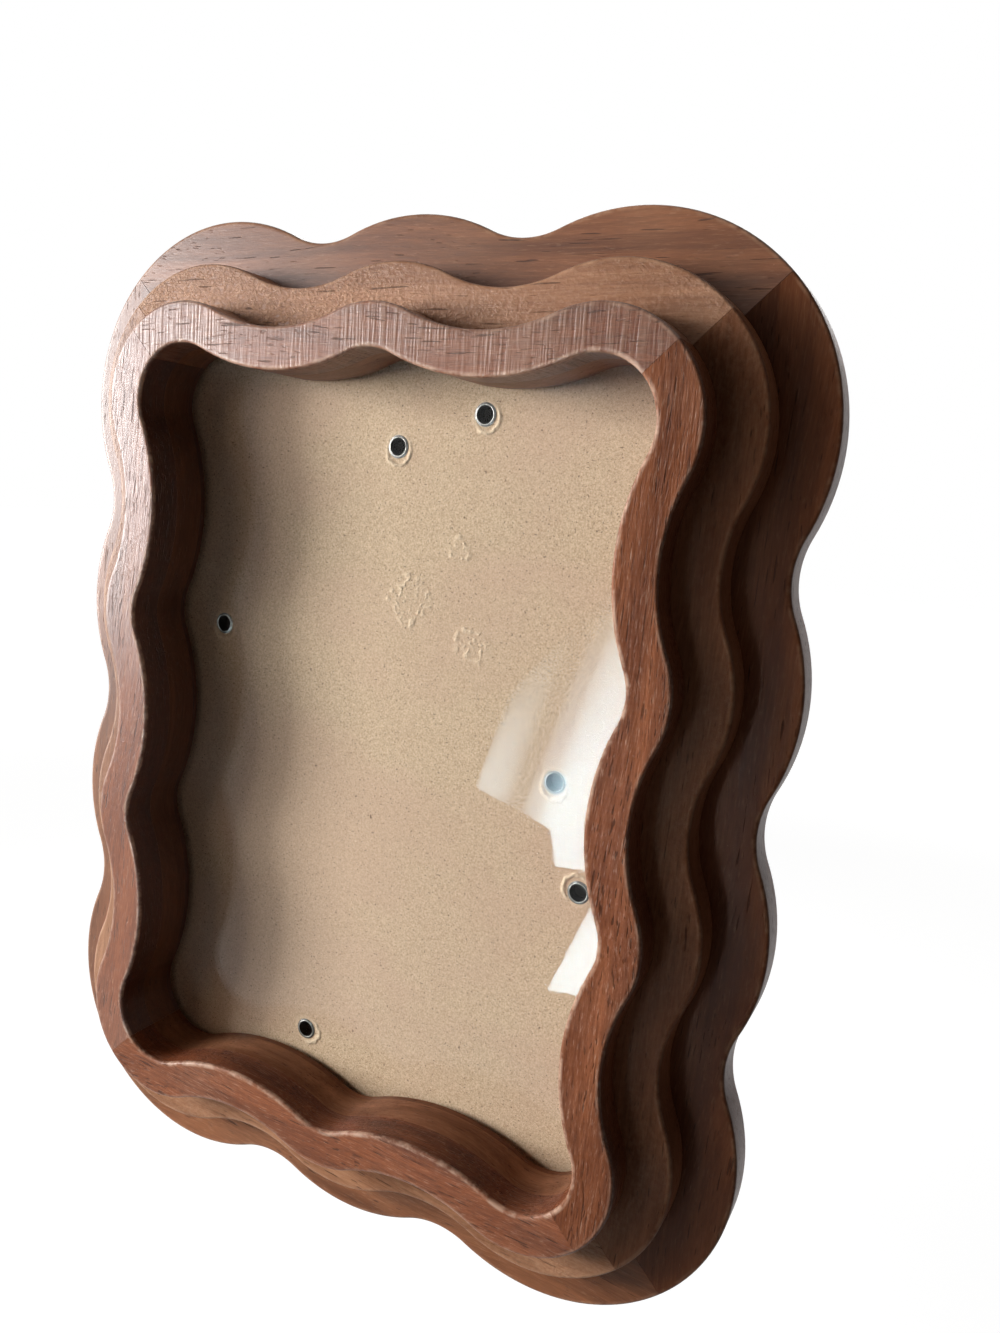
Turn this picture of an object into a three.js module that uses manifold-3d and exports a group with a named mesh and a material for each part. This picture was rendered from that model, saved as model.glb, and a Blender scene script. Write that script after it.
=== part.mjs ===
// Scalloped wooden picture frame, upright as it hangs: millimetres, +Z up, front facing -Y.
//
// Three stepped tiers of wood follow one wavy line. Every edge of every tier is a parallel
// curve of that line: round lobes on an even pitch, joined by round valleys. Each tier is
// four rails mitred at the corner lobes. The base tier has a rabbet for the pane and the
// backing board. Four clips swivel on rivets in the board and swing their tips into slots
// in the rabbet wall. Two straps with wire rings hang the frame upright or sideways.
//
// The frame is modelled lying on its back, x to the right, y up the frame and z from the
// back plane to the front, and the whole is then stood upright.

import * as THREE from 'three';
import { mergeVertices } from 'three/addons/utils/BufferGeometryUtils.js';
import Module from 'manifold-3d';

const wasm = await Module();
wasm.setup();

// Driving sizes: the wavy outline
const wavePitch = 48.5; // crest to crest, the same along all four sides
const pitchesAcross = 2; // pitches between the corner lobes, left to right
const pitchesUp = 3; // pitches between the corner lobes, bottom to top
const crestPlusValley = 59.3; // crest radius plus valley radius, the same on parallel curves
const windowCrestRadius = 12.2; // crest radius of the window's edge
const frontTierWidth = 8.8; // from the window to the front tier's outer edge
const middleStepWidth = 9.2; // shown by the middle tier beyond the front tier
const baseStepWidth = 10.9; // shown by the base tier beyond the middle tier

// Driving sizes: the wood
const frontTierThickness = 7.6;
const middleTierThickness = 7.6;
const lipThickness = 1.4; // wood in front of the pane
const slotBackWood = 1.2; // wood behind the slots for the clips
const arris = 0.6; // radius that eases the tiers' front edges
const glueLine = 0.1; // between tiers and between mitred ends

// Driving sizes: the pane and the backing board
const lapAtSides = 2.8; // the pane behind the window's crests, left and right
const lapAtEnds = 4.05; // the same at the top and the bottom
const paneThickness = 1.5;
const boardThickness = 2;
const rabbetClearance = 1; // around the pane and the board
const seatGap = 0.1; // between flat pieces that rest on each other

// Driving sizes: the semi-tubular rivets
const shankRadius = 2.2;
const shankWall = 0.3;
const rimRoll = 0.3; // past the shank, where its end is rolled over on the board's front
const rimRise = 0.3;
const headOverhang = 0.5; // past the shank
const headThickness = 0.4;
const headFloor = 0.3; // metal under the blind bore
const shankClearance = 0.15; // around a shank in its hole

// Driving sizes: the swivel clips
const clipThickness = 0.7;
const clipEyeRim = 2.15; // around the rivet's hole
const clipTipRadius = 2.8;
const clipEngagement = 3; // of the tip, in its slot
const clipEdgeInset = 14.4; // from the board's edge to the clip's rivet
const clipOffsetAtEnds = 17.6; // from the frame's middle line, top and bottom
const clipOffsetAtSides = 21.8; // from the frame's middle line, left and right
const slotFaceClearance = 0.2; // on each face of a clip in its slot
const slotTipClearance = 0.5; // beyond the clip's tip

// Driving sizes: the hangers
const strapThickness = 0.5;
const strapRim = 1.15; // around the rivet's hole
const strapReach = 6.5; // from the rivet to the ring's wire
const strapCurl = 260; // degrees that the strap wraps round the wire
const wireRadius = 0.7;
const wireClearance = 0.1; // around the wire in the strap's loop
const ringPastRivet = 5.5; // how far the crown lies past the rivet when the ring is folded in
const ringCrownRadius = 3.5;
const ringBendRadius = 1.3;
const ringSideGap = 0.4; // between the strap's edge and the ring's bend
const ringEndGap = 0.4; // where the bent wire's ends meet
const hangerEdgeInset = 22.2; // from the board's edge to the strap's rivet
const topHangerOffset = -3; // the top strap sits a little left of the middle
const sideHangerOffset = 0.5; // and the side strap a little above it

// Driving sizes: the corner fasteners, thin angles driven into the back across each mitre
const angleLeg = 5;
const angleThickness = 0.5;
const angleHeight = 5.5;
const angleInset = 8.5; // from the outer edge, along the mitre
const angleSink = 0.4; // below the back face
const angleClearance = 0.15; // around an angle in its saw cut

// Numbers of flat facets
const lobeSegments = 6; // on a crest or a valley between two tangent points
const cornerSegments = 9; // on a corner lobe, from the mitre to its tangent point
const roundSegments = 20; // all round a rivet or a hole
const slotSegments = 96;
const wireSides = 8;
const wireSteps = 56;
const overcut = 1; // how far a cutting body stands out of what it cuts

// Sizes that follow from the driving ones
const frontEdgeRadius = windowCrestRadius + frontTierWidth;
const middleEdgeRadius = frontEdgeRadius + middleStepWidth;
const baseEdgeRadius = middleEdgeRadius + baseStepWidth;
const crestHalfAngle = Math.asin(wavePitch / 2 / crestPlusValley);
const valleyCentreOut = Math.sqrt(crestPlusValley ** 2 - (wavePitch / 2) ** 2);
const lobeX = (pitchesAcross * wavePitch) / 2;
const lobeY = (pitchesUp * wavePitch) / 2;

const boardWidth = 2 * (lobeX + windowCrestRadius + lapAtSides);
const boardHeight = 2 * (lobeY + windowCrestRadius + lapAtEnds);

const slotHeight = clipThickness + 2 * slotFaceClearance;
const clipBack = slotBackWood + slotFaceClearance;
const boardBack = clipBack + clipThickness + seatGap;
const boardFront = boardBack + boardThickness;
const paneBack = boardFront + rimRise + seatGap;
const rabbetDepth = paneBack + paneThickness + seatGap;
const baseTierThickness = rabbetDepth + lipThickness;
const middleTierBack = baseTierThickness + glueLine;
const frontTierBack = middleTierBack + middleTierThickness + glueLine;
const frontFace = frontTierBack + frontTierThickness;

const clipReach = clipEdgeInset + rabbetClearance + clipEngagement;
const holeRadius = shankRadius + shankClearance;
const boreRadius = shankRadius - shankWall;
const rimRadius = shankRadius + rimRoll;
const headRadius = shankRadius + headOverhang;
const clipEyeRadius = holeRadius + clipEyeRim;
const strapWidth = 2 * (holeRadius + strapRim);
const ringLength = strapReach + ringPastRivet; // from the pivot to the crown, on the wire's line
const loopOuterRadius = wireRadius + wireClearance + strapThickness;
const strapFront = boardBack - seatGap;
const ringDepth = strapFront - loopOuterRadius;
const rearmost = Math.min(0, strapFront - 2 * loopOuterRadius);
const arcSegments = roundSegments / 2; // an arc of a shape is drawn with twice as many facets

// Finishes, seen in an even light
const finishes = {
  frontWood: { color: 0x9a6a50, roughness: 0.62, metalness: 0 },
  middleWood: { color: 0xa17a5e, roughness: 0.7, metalness: 0 },
  baseWood: { color: 0x85583f, roughness: 0.55, metalness: 0 },
  glass: { color: 0xe9f0ee, roughness: 0.04, metalness: 0, transparent: true, opacity: 0.25 },
  board: { color: 0xbda487, roughness: 0.88, metalness: 0 },
  nickel: { color: 0xb9bbbd, roughness: 0.3, metalness: 1 },
  zinc: { color: 0xa3a6a8, roughness: 0.42, metalness: 1 },
};

// Makes a named mesh with a material of its own.
function piece(name, geometry, finish) {
  const mesh = new THREE.Mesh(geometry, new THREE.MeshStandardMaterial(finishes[finish]));
  mesh.name = name;
  return mesh;
}

// Turns a closed three.js geometry into a solid that can be cut.
function toSolid(geometry) {
  const bare = geometry.clone();
  bare.deleteAttribute('normal');
  bare.deleteAttribute('uv');
  const merged = mergeVertices(bare, 1e-4);
  const vertProperties = new Float32Array(merged.attributes.position.array);
  const triVerts = new Uint32Array(merged.index.array);
  return new wasm.Manifold(new wasm.Mesh({ numProp: 3, vertProperties, triVerts }));
}

// Turns a cut solid back into a three.js geometry.
function toGeometry(solid) {
  const mesh = solid.getMesh();
  const geometry = new THREE.BufferGeometry();
  geometry.setAttribute('position', new THREE.BufferAttribute(new Float32Array(mesh.vertProperties), 3));
  geometry.setIndex(new THREE.BufferAttribute(new Uint32Array(mesh.triVerts), 1));
  geometry.computeVertexNormals();
  return geometry;
}

// Cuts bodies, given in the frame's place, out of a piece that is modelled in its own place.
function cutFrom(geometry, place, cutters) {
  const toOwnPlace = place.clone().invert();
  let solid = toSolid(geometry);
  for (const cutter of cutters) {
    solid = solid.subtract(toSolid(cutter.clone().applyMatrix4(toOwnPlace)));
  }
  return toGeometry(solid);
}

// The wavy line

// Lists the stations of one rail from its left mitre to its right one. The rail's lobes stand
// on the x axis and the frame's outside is +y. A station is an angle on a lobe or in a valley.
function railStations(pitches) {
  const stations = [];
  const out = Math.PI / 2;
  const inward = 3 * out;
  const firstLobe = (-pitches * wavePitch) / 2;
  const addArc = (x, y, valley, from, to, segments) => {
    for (let i = 1; i <= segments; i += 1) {
      stations.push({ x, y, valley, angle: from + ((to - from) * i) / segments, mitre: 0 });
    }
  };
  stations.push({ x: firstLobe, y: 0, valley: false, angle: out + Math.PI / 4, mitre: -1 });
  addArc(firstLobe, 0, false, out + Math.PI / 4, out - crestHalfAngle, cornerSegments);
  for (let wave = 0; wave < pitches; wave += 1) {
    const lobe = firstLobe + wave * wavePitch;
    const valley = lobe + wavePitch / 2;
    const [from, to] = [inward - crestHalfAngle, inward + crestHalfAngle];
    addArc(valley, valleyCentreOut, true, from, to, lobeSegments);
    if (wave < pitches - 1) {
      addArc(lobe + wavePitch, 0, false, out + crestHalfAngle, out - crestHalfAngle, lobeSegments);
    }
  }
  addArc(-firstLobe, 0, false, out + crestHalfAngle, out - Math.PI / 4, cornerSegments);
  stations[stations.length - 1].mitre = 1;
  return stations;
}

// Gives the point of a parallel curve at a station. The curve is named by its crest radius,
// and its valleys have what is left of crestPlusValley. A mitred end stops half a glue line
// short of the mitre.
function pointAt(station, crestRadius) {
  const radius = station.valley ? crestPlusValley - crestRadius : crestRadius;
  const angle = station.angle + station.mitre * Math.asin(glueLine / 2 / crestRadius);
  return [station.x + radius * Math.cos(angle), station.y + radius * Math.sin(angle)];
}

// Sweeps a section along a rail. The section is a loop of (crest radius, depth) points,
// anticlockwise with the outside of the frame to the right and the front up.
function sweepRail(pitches, section) {
  const stations = railStations(pitches);
  const count = section.length;
  const positions = [];
  for (const station of stations) {
    for (const corner of section) {
      positions.push(...pointAt(station, corner.x), corner.y);
    }
  }
  const index = [];
  for (let s = 0; s < stations.length - 1; s += 1) {
    for (let k = 0; k < count; k += 1) {
      const next = (k + 1) % count;
      const a = s * count + k;
      const b = s * count + next;
      index.push(a, b, b + count, a, b + count, a + count);
    }
  }
  const farEnd = (stations.length - 1) * count;
  for (const [a, b, c] of THREE.ShapeUtils.triangulateShape(section, [])) {
    index.push(c, b, a, farEnd + a, farEnd + b, farEnd + c);
  }
  const geometry = new THREE.BufferGeometry();
  geometry.setAttribute('position', new THREE.Float32BufferAttribute(positions, 3));
  geometry.setIndex(index);
  geometry.computeVertexNormals();
  return geometry;
}

// Draws a tier's section between two curves and two depths, with its front edges eased.
function tierSection(outerRadius, back, front, easeWindow) {
  const slope = arris * (1 - Math.SQRT1_2);
  const section = [
    new THREE.Vector2(windowCrestRadius, back),
    new THREE.Vector2(outerRadius, back),
    new THREE.Vector2(outerRadius, front - arris),
    new THREE.Vector2(outerRadius - slope, front - slope),
    new THREE.Vector2(outerRadius - arris, front),
  ];
  if (easeWindow) {
    section.push(
      new THREE.Vector2(windowCrestRadius + arris, front),
      new THREE.Vector2(windowCrestRadius + slope, front - slope),
      new THREE.Vector2(windowCrestRadius, front - arris),
    );
  } else {
    section.push(new THREE.Vector2(windowCrestRadius, front));
  }
  return section;
}

// The four sides and the four corners

const sides = {
  top: { pitches: pitchesAcross, turn: 0, distance: lobeY },
  right: { pitches: pitchesUp, turn: -Math.PI / 2, distance: lobeX },
  bottom: { pitches: pitchesAcross, turn: Math.PI, distance: lobeY },
  left: { pitches: pitchesUp, turn: Math.PI / 2, distance: lobeX },
};

const corners = {
  top_right: { x: lobeX, y: lobeY, turn: 0, sides: ['top', 'right'] },
  top_left: { x: -lobeX, y: lobeY, turn: Math.PI / 2, sides: ['top', 'left'] },
  bottom_left: { x: -lobeX, y: -lobeY, turn: Math.PI, sides: ['bottom', 'left'] },
  bottom_right: { x: lobeX, y: -lobeY, turn: -Math.PI / 2, sides: ['bottom', 'right'] },
};

// Gives the place of a side's rail: turned to its side and moved out to its row of lobes.
function sidePlace(side) {
  const turn = new THREE.Matrix4().makeRotationZ(side.turn);
  return turn.multiply(new THREE.Matrix4().makeTranslation(0, side.distance, 0));
}

// Draws the angle-shaped section of a corner fastener, its heel at the origin and its legs
// along -x and -y, grown by a clearance on every side.
function angleShape(clearance) {
  const heel = clearance;
  const end = -angleLeg - clearance;
  const inside = -angleThickness - clearance;
  const shape = new THREE.Shape();
  shape.moveTo(heel, heel);
  shape.lineTo(end, heel);
  shape.lineTo(end, inside);
  shape.lineTo(inside, inside);
  shape.lineTo(inside, end);
  shape.lineTo(heel, end);
  shape.closePath();
  return shape;
}

// Gives the place of a corner's fastener, its heel on the mitre.
function anglePlace(corner) {
  const heel = (baseEdgeRadius - angleInset) * Math.SQRT1_2;
  const outFromLobe = new THREE.Vector2(heel, heel).rotateAround(new THREE.Vector2(), corner.turn);
  const turn = new THREE.Matrix4().makeRotationZ(corner.turn);
  return new THREE.Matrix4()
    .makeTranslation(corner.x + outFromLobe.x, corner.y + outFromLobe.y, 0)
    .multiply(turn);
}

// Makes the saw cut that takes a corner's fastener, open at the back.
function angleCut(corner) {
  const depth = angleSink + angleHeight + angleClearance + overcut;
  const cut = new THREE.ExtrudeGeometry(angleShape(angleClearance), { depth, bevelEnabled: false });
  cut.translate(0, 0, -overcut);
  return cut.applyMatrix4(anglePlace(corner));
}

// Makes the space that the rabbet takes out of the base tier.
function rabbetCut() {
  const width = boardWidth + 2 * rabbetClearance;
  const height = boardHeight + 2 * rabbetClearance;
  const depth = rabbetDepth + overcut;
  return new THREE.BoxGeometry(width, height, depth).translate(0, 0, rabbetDepth - depth / 2);
}

// Where the clips and the hangers are riveted on the board. A clip rests along its edge of
// the board, and a quarter turn swings it outwards.
const clips = {
  top: { x: clipOffsetAtEnds, y: boardHeight / 2 - clipEdgeInset, turn: 0 },
  right: { x: boardWidth / 2 - clipEdgeInset, y: -clipOffsetAtSides, turn: -Math.PI / 2 },
  bottom: { x: -clipOffsetAtEnds, y: clipEdgeInset - boardHeight / 2, turn: Math.PI },
  left: { x: clipEdgeInset - boardWidth / 2, y: clipOffsetAtSides, turn: Math.PI / 2 },
};

const hangers = {
  top: { x: topHangerOffset, y: boardHeight / 2 - hangerEdgeInset, turn: 0 },
  side: { x: boardWidth / 2 - hangerEdgeInset, y: sideHangerOffset, turn: -Math.PI / 2 },
};

// Makes the slot that a disc cutter leaves for a clip, centred on the clip's rivet.
function slotCut(clip) {
  const radius = clipReach + slotTipClearance;
  const disc = new THREE.CylinderGeometry(radius, radius, slotHeight, slotSegments);
  disc.rotateX(Math.PI / 2);
  return disc.translate(clip.x, clip.y, slotBackWood + slotHeight / 2);
}

// The wooden tiers

function woodenTier(name, finish, section, cuttersOf) {
  const tier = new THREE.Group();
  for (const [sideName, side] of Object.entries(sides)) {
    const place = sidePlace(side);
    let geometry = sweepRail(side.pitches, section);
    if (cuttersOf) {
      geometry = cutFrom(geometry, place, cuttersOf(sideName));
    }
    const rail = piece(`${name}_rail_${sideName}`, geometry, finish);
    rail.applyMatrix4(place);
    tier.add(rail);
  }
  return tier;
}

function baseCutters(sideName) {
  const cutters = [rabbetCut(), slotCut(clips[sideName])];
  for (const corner of Object.values(corners)) {
    if (corner.sides.includes(sideName)) {
      cutters.push(angleCut(corner));
    }
  }
  return cutters;
}

function woodenFrame() {
  const wood = new THREE.Group();
  const baseSection = tierSection(baseEdgeRadius, 0, baseTierThickness, false);
  const middleFront = middleTierBack + middleTierThickness;
  const middleSection = tierSection(middleEdgeRadius, middleTierBack, middleFront, false);
  const frontSection = tierSection(frontEdgeRadius, frontTierBack, frontFace, true);
  wood.add(
    woodenTier('base', 'baseWood', baseSection, baseCutters),
    woodenTier('middle', 'middleWood', middleSection),
    woodenTier('front', 'frontWood', frontSection),
  );
  return wood;
}

function cornerFasteners() {
  const fasteners = new THREE.Group();
  for (const [name, corner] of Object.entries(corners)) {
    const options = { depth: angleHeight, bevelEnabled: false };
    const geometry = new THREE.ExtrudeGeometry(angleShape(0), options).translate(0, 0, angleSink);
    const fastener = piece(`corner_angle_${name}`, geometry, 'zinc');
    fastener.applyMatrix4(anglePlace(corner));
    fasteners.add(fastener);
  }
  return fasteners;
}

// The pane and the backing board

function glassPane() {
  const geometry = new THREE.BoxGeometry(boardWidth, boardHeight, paneThickness);
  const pane = piece('glass_pane', geometry, 'glass');
  pane.position.z = paneBack + paneThickness / 2;
  return pane;
}

// Draws a round hole for a rivet's shank.
function rivetHole(x, y) {
  const hole = new THREE.Path();
  hole.absarc(x, y, holeRadius, 0, 2 * Math.PI, true);
  return hole;
}

function backingBoard() {
  const x = boardWidth / 2;
  const y = boardHeight / 2;
  const shape = new THREE.Shape();
  shape.moveTo(x, y);
  shape.lineTo(-x, y);
  shape.lineTo(-x, -y);
  shape.lineTo(x, -y);
  shape.closePath();
  for (const rivet of [...Object.values(clips), ...Object.values(hangers)]) {
    shape.holes.push(rivetHole(rivet.x, rivet.y));
  }
  const options = { depth: boardThickness, bevelEnabled: false, curveSegments: arcSegments };
  const board = piece('backing_board', new THREE.ExtrudeGeometry(shape, options), 'board');
  board.position.z = boardBack;
  return board;
}

// Rivets: a solid head behind the board, and a hollow end rolled over on its front

function rivet(name, place, headFront) {
  const profile = [
    new THREE.Vector2(0, headFront - headThickness),
    new THREE.Vector2(headRadius - headThickness / 2, headFront - headThickness),
    new THREE.Vector2(headRadius, headFront - headThickness / 2),
    new THREE.Vector2(headRadius, headFront),
    new THREE.Vector2(shankRadius, headFront),
    new THREE.Vector2(shankRadius, boardFront),
    new THREE.Vector2(rimRadius, boardFront + seatGap),
    new THREE.Vector2(rimRadius, boardFront + rimRise / 2),
    new THREE.Vector2((rimRadius + boreRadius) / 2, boardFront + rimRise),
    new THREE.Vector2(boreRadius, boardFront + rimRise / 2),
    new THREE.Vector2(boreRadius, headFront + headFloor),
    new THREE.Vector2(0, headFront + headFloor),
  ];
  const geometry = new THREE.LatheGeometry(profile, roundSegments).rotateX(Math.PI / 2);
  const mesh = piece(name, geometry, 'nickel');
  mesh.position.set(place.x, place.y, 0);
  return mesh;
}

// Swivel clips: a round eye on the rivet, narrowing to a round tip

function clipGeometry() {
  const tipX = clipReach - clipTipRadius;
  const lean = Math.acos((clipEyeRadius - clipTipRadius) / tipX);
  const shape = new THREE.Shape();
  shape.absarc(0, 0, clipEyeRadius, lean, 2 * Math.PI - lean, false);
  shape.absarc(tipX, 0, clipTipRadius, -lean, lean, false);
  shape.closePath();
  shape.holes.push(rivetHole(0, 0));
  const options = { depth: clipThickness, bevelEnabled: false, curveSegments: arcSegments };
  return new THREE.ExtrudeGeometry(shape, options);
}

function swivelClip(name, clip) {
  const mesh = piece(`swivel_clip_${name}`, clipGeometry(), 'zinc');
  mesh.position.set(clip.x, clip.y, clipBack);
  mesh.rotation.z = clip.turn;
  return mesh;
}

// Hangers: a strap curled round the straight side of a bent wire ring

// Draws the strap from the side, along y and in depth: flat on the board, then curled back
// round the wire, whose middle is one loop radius behind the strap's front face.
function strapSideShape() {
  const start = Math.PI / 2;
  const end = start - THREE.MathUtils.degToRad(strapCurl);
  const tail = -strapWidth / 2;
  const shape = new THREE.Shape();
  shape.moveTo(tail, -strapThickness);
  shape.lineTo(strapReach, -strapThickness);
  shape.absarc(strapReach, -loopOuterRadius, loopOuterRadius - strapThickness, start, end, true);
  shape.absarc(strapReach, -loopOuterRadius, loopOuterRadius, end, start, false);
  shape.lineTo(tail, 0);
  shape.closePath();
  return shape;
}

// Draws the strap in plan: straight sides and a round end about the rivet.
function strapPlanShape() {
  const half = strapWidth / 2;
  const far = strapReach + loopOuterRadius + overcut;
  const shape = new THREE.Shape();
  shape.moveTo(half, far);
  shape.lineTo(-half, far);
  shape.absarc(0, 0, half, Math.PI, 2 * Math.PI, false);
  shape.closePath();
  shape.holes.push(rivetHole(0, 0));
  return shape;
}

function strapGeometry() {
  const sideWidth = strapWidth + 2 * overcut;
  const sideOptions = { depth: sideWidth, bevelEnabled: false, curveSegments: arcSegments };
  const side = new THREE.ExtrudeGeometry(strapSideShape(), sideOptions).translate(0, 0, -sideWidth / 2);
  const across = new THREE.Vector3(1, 0, 0);
  const along = new THREE.Vector3(0, 1, 0);
  const forward = new THREE.Vector3(0, 0, 1);
  side.applyMatrix4(new THREE.Matrix4().makeBasis(along, forward, across));
  const planDepth = 2 * loopOuterRadius + 2 * overcut;
  const planOptions = { depth: planDepth, bevelEnabled: false, curveSegments: arcSegments };
  const plan = new THREE.ExtrudeGeometry(strapPlanShape(), planOptions).translate(0, 0, overcut - planDepth);
  return toGeometry(toSolid(side).intersect(toSolid(plan)));
}

// The ring's wire, in the plane of the ring: it starts and ends inside the strap's loop.
class RingWire extends THREE.Curve {
  constructor() {
    super();
    const straight = strapWidth / 2 + ringSideGap;
    const bend = new THREE.Vector2(straight, ringBendRadius);
    const crown = new THREE.Vector2(0, ringLength - ringCrownRadius);
    const toCrown = crown.clone().sub(bend);
    const tilt = toCrown.angle() - Math.acos((ringBendRadius - ringCrownRadius) / toCrown.length());
    this.path = new THREE.Path();
    this.path.moveTo(ringEndGap / 2, 0);
    this.path.lineTo(straight, 0);
    this.path.absarc(bend.x, bend.y, ringBendRadius, -Math.PI / 2, tilt, false);
    this.path.absarc(crown.x, crown.y, ringCrownRadius, tilt, Math.PI - tilt, false);
    this.path.absarc(-bend.x, bend.y, ringBendRadius, Math.PI - tilt, 1.5 * Math.PI, false);
    this.path.lineTo(-ringEndGap / 2, 0);
  }

  getPoint(t, target = new THREE.Vector3()) {
    const point = this.path.getPoint(t);
    return target.set(point.x, point.y, 0);
  }
}

function ringGeometry() {
  const section = new THREE.Shape();
  section.absarc(0, 0, wireRadius, 0, 2 * Math.PI, false);
  const extrudePath = new RingWire();
  const options = { steps: wireSteps, curveSegments: wireSides / 2, extrudePath };
  return new THREE.ExtrudeGeometry(section, options);
}

function hanger(name, place) {
  const group = new THREE.Group();
  const strap = piece(`hanger_strap_${name}`, strapGeometry(), 'zinc');
  strap.position.z = strapFront;
  const ring = piece(`hanger_ring_${name}`, ringGeometry(), 'nickel');
  ring.position.set(0, strapReach, ringDepth);
  group.add(strap, ring);
  group.position.set(place.x, place.y, 0);
  group.rotation.z = place.turn;
  return group;
}

// The whole frame, lying on its back

const frame = new THREE.Group();
frame.add(woodenFrame(), cornerFasteners(), glassPane(), backingBoard());
for (const [name, clip] of Object.entries(clips)) {
  frame.add(swivelClip(name, clip), rivet(`clip_rivet_${name}`, clip, clipBack - seatGap));
}
for (const [name, place] of Object.entries(hangers)) {
  const headFront = strapFront - strapThickness - seatGap;
  frame.add(hanger(name, place), rivet(`hanger_rivet_${name}`, place, headFront));
}

// Stood upright, front to -Y, with the origin in the middle of its box
frame.rotation.x = Math.PI / 2;
frame.position.y = (frontFace + rearmost) / 2;

const pictureFrame = new THREE.Group();
pictureFrame.name = 'scalloped_picture_frame';
pictureFrame.add(frame);

export default pictureFrame;
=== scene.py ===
"""A scalloped wooden picture frame with a glass pane and a riveted fibreboard back.

Three stepped tiers of mitred rails follow one wavy line. Pieces are drawn in millimetres with
the frame lying on its back, x to the right, y up the frame and z from the back plane to the
front, and are then stood upright in metres, where the front faces -y.
"""

import logging
import math
from collections.abc import Callable, Iterable, Sequence
from dataclasses import dataclass
from enum import Enum
from itertools import pairwise
from typing import TypeVar

import bmesh
import bpy
from bmesh.types import BMEdge, BMesh, BMFace, BMVert
from bpy.types import ID, Material, Node, NodeSocket, Object, World
from mathutils import Matrix, Quaternion, Vector, noise


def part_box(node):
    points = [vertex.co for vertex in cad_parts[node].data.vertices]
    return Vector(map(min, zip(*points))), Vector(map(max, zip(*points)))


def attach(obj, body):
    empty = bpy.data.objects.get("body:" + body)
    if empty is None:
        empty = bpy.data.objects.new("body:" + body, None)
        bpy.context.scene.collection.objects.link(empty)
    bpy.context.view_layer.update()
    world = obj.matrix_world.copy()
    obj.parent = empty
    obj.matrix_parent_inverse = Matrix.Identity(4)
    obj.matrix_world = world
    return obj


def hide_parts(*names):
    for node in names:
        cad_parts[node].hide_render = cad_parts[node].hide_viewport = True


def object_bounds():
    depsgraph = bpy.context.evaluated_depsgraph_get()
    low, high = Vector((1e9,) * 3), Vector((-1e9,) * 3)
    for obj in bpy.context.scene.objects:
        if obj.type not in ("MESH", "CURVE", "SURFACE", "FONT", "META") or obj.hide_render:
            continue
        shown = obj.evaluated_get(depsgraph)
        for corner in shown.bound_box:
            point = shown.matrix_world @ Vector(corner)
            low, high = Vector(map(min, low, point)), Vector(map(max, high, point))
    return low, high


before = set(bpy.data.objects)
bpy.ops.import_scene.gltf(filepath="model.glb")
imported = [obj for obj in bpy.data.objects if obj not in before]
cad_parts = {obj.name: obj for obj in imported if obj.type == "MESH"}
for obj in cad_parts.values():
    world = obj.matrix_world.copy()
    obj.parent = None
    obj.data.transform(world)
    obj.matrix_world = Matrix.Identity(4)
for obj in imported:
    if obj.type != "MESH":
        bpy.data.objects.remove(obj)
cad_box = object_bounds()

logging.basicConfig(level=logging.INFO, format="%(message)s")
log = logging.getLogger("picture_frame")

MM = 0.001
BACK_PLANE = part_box("base_rail_top")[1].y
STAND = (
    Matrix.Translation((0.0, BACK_PLANE, 0.0))
    @ Matrix.Rotation(math.radians(90), 4, "X")
    @ Matrix.Scale(MM, 4)
)
SMOOTH_ANGLE = math.radians(34)
BROAD_FACE = 400 * MM**2
MERGE_REACH = 1e-4
PLANE_REACH = 1e-5
ON_AXIS = 1e-6
CUT_PAST = 1.0
SEED_STEP = (37.0, 11.0, 23.0)
PRINT_WIDTH = 127.0
PRINT_HEIGHT = 178.0
BASE_EDGE = 41.1
SHANK_HOLE = 2.35
ORIGIN = Vector((0.0, 0.0, 0.0))
UP = Vector((0.0, 0.0, 1.0))

Shade = tuple[float, float, float]
Colour = tuple[float, float, float, float]
Value = NodeSocket | float
Part = TypeVar("Part", BMVert, BMEdge, BMFace)

WHITE: Colour = (1.0, 1.0, 1.0, 1.0)


def tone(red: int, green: int, blue: int) -> Colour:
    """Gives a colour, named as it shows on a screen, as the light that it sends back.

    Args:
        red: Red, 0 to 255.
        green: Green, 0 to 255.
        blue: Blue, 0 to 255.

    Returns:
        The linear colour with an alpha of 1.
    """
    shown = (value / 255 for value in (red, green, blue))
    linear = [v / 12.92 if v <= 0.04045 else ((v + 0.055) / 1.055) ** 2.4 for v in shown]
    return (linear[0], linear[1], linear[2], 1.0)


def held(value: float) -> float:
    """Keeps a value between 0 and 1."""
    return min(1.0, max(0.0, value))


def risen(value: float, start: float, gain: float) -> float:
    """Lets a pattern show from a value on, up to 1."""
    return held((value - start) * gain)


def swell(away: float, width: float) -> float:
    """Gives a round hump, 1 at its middle."""
    return math.exp(-((away / width) ** 2))


# Modelling


def parts_in(geometry: Iterable[object], kind: type[Part]) -> list[Part]:
    """Returns the parts of one kind among some geometry."""
    return [part for part in geometry if isinstance(part, kind)]


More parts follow.
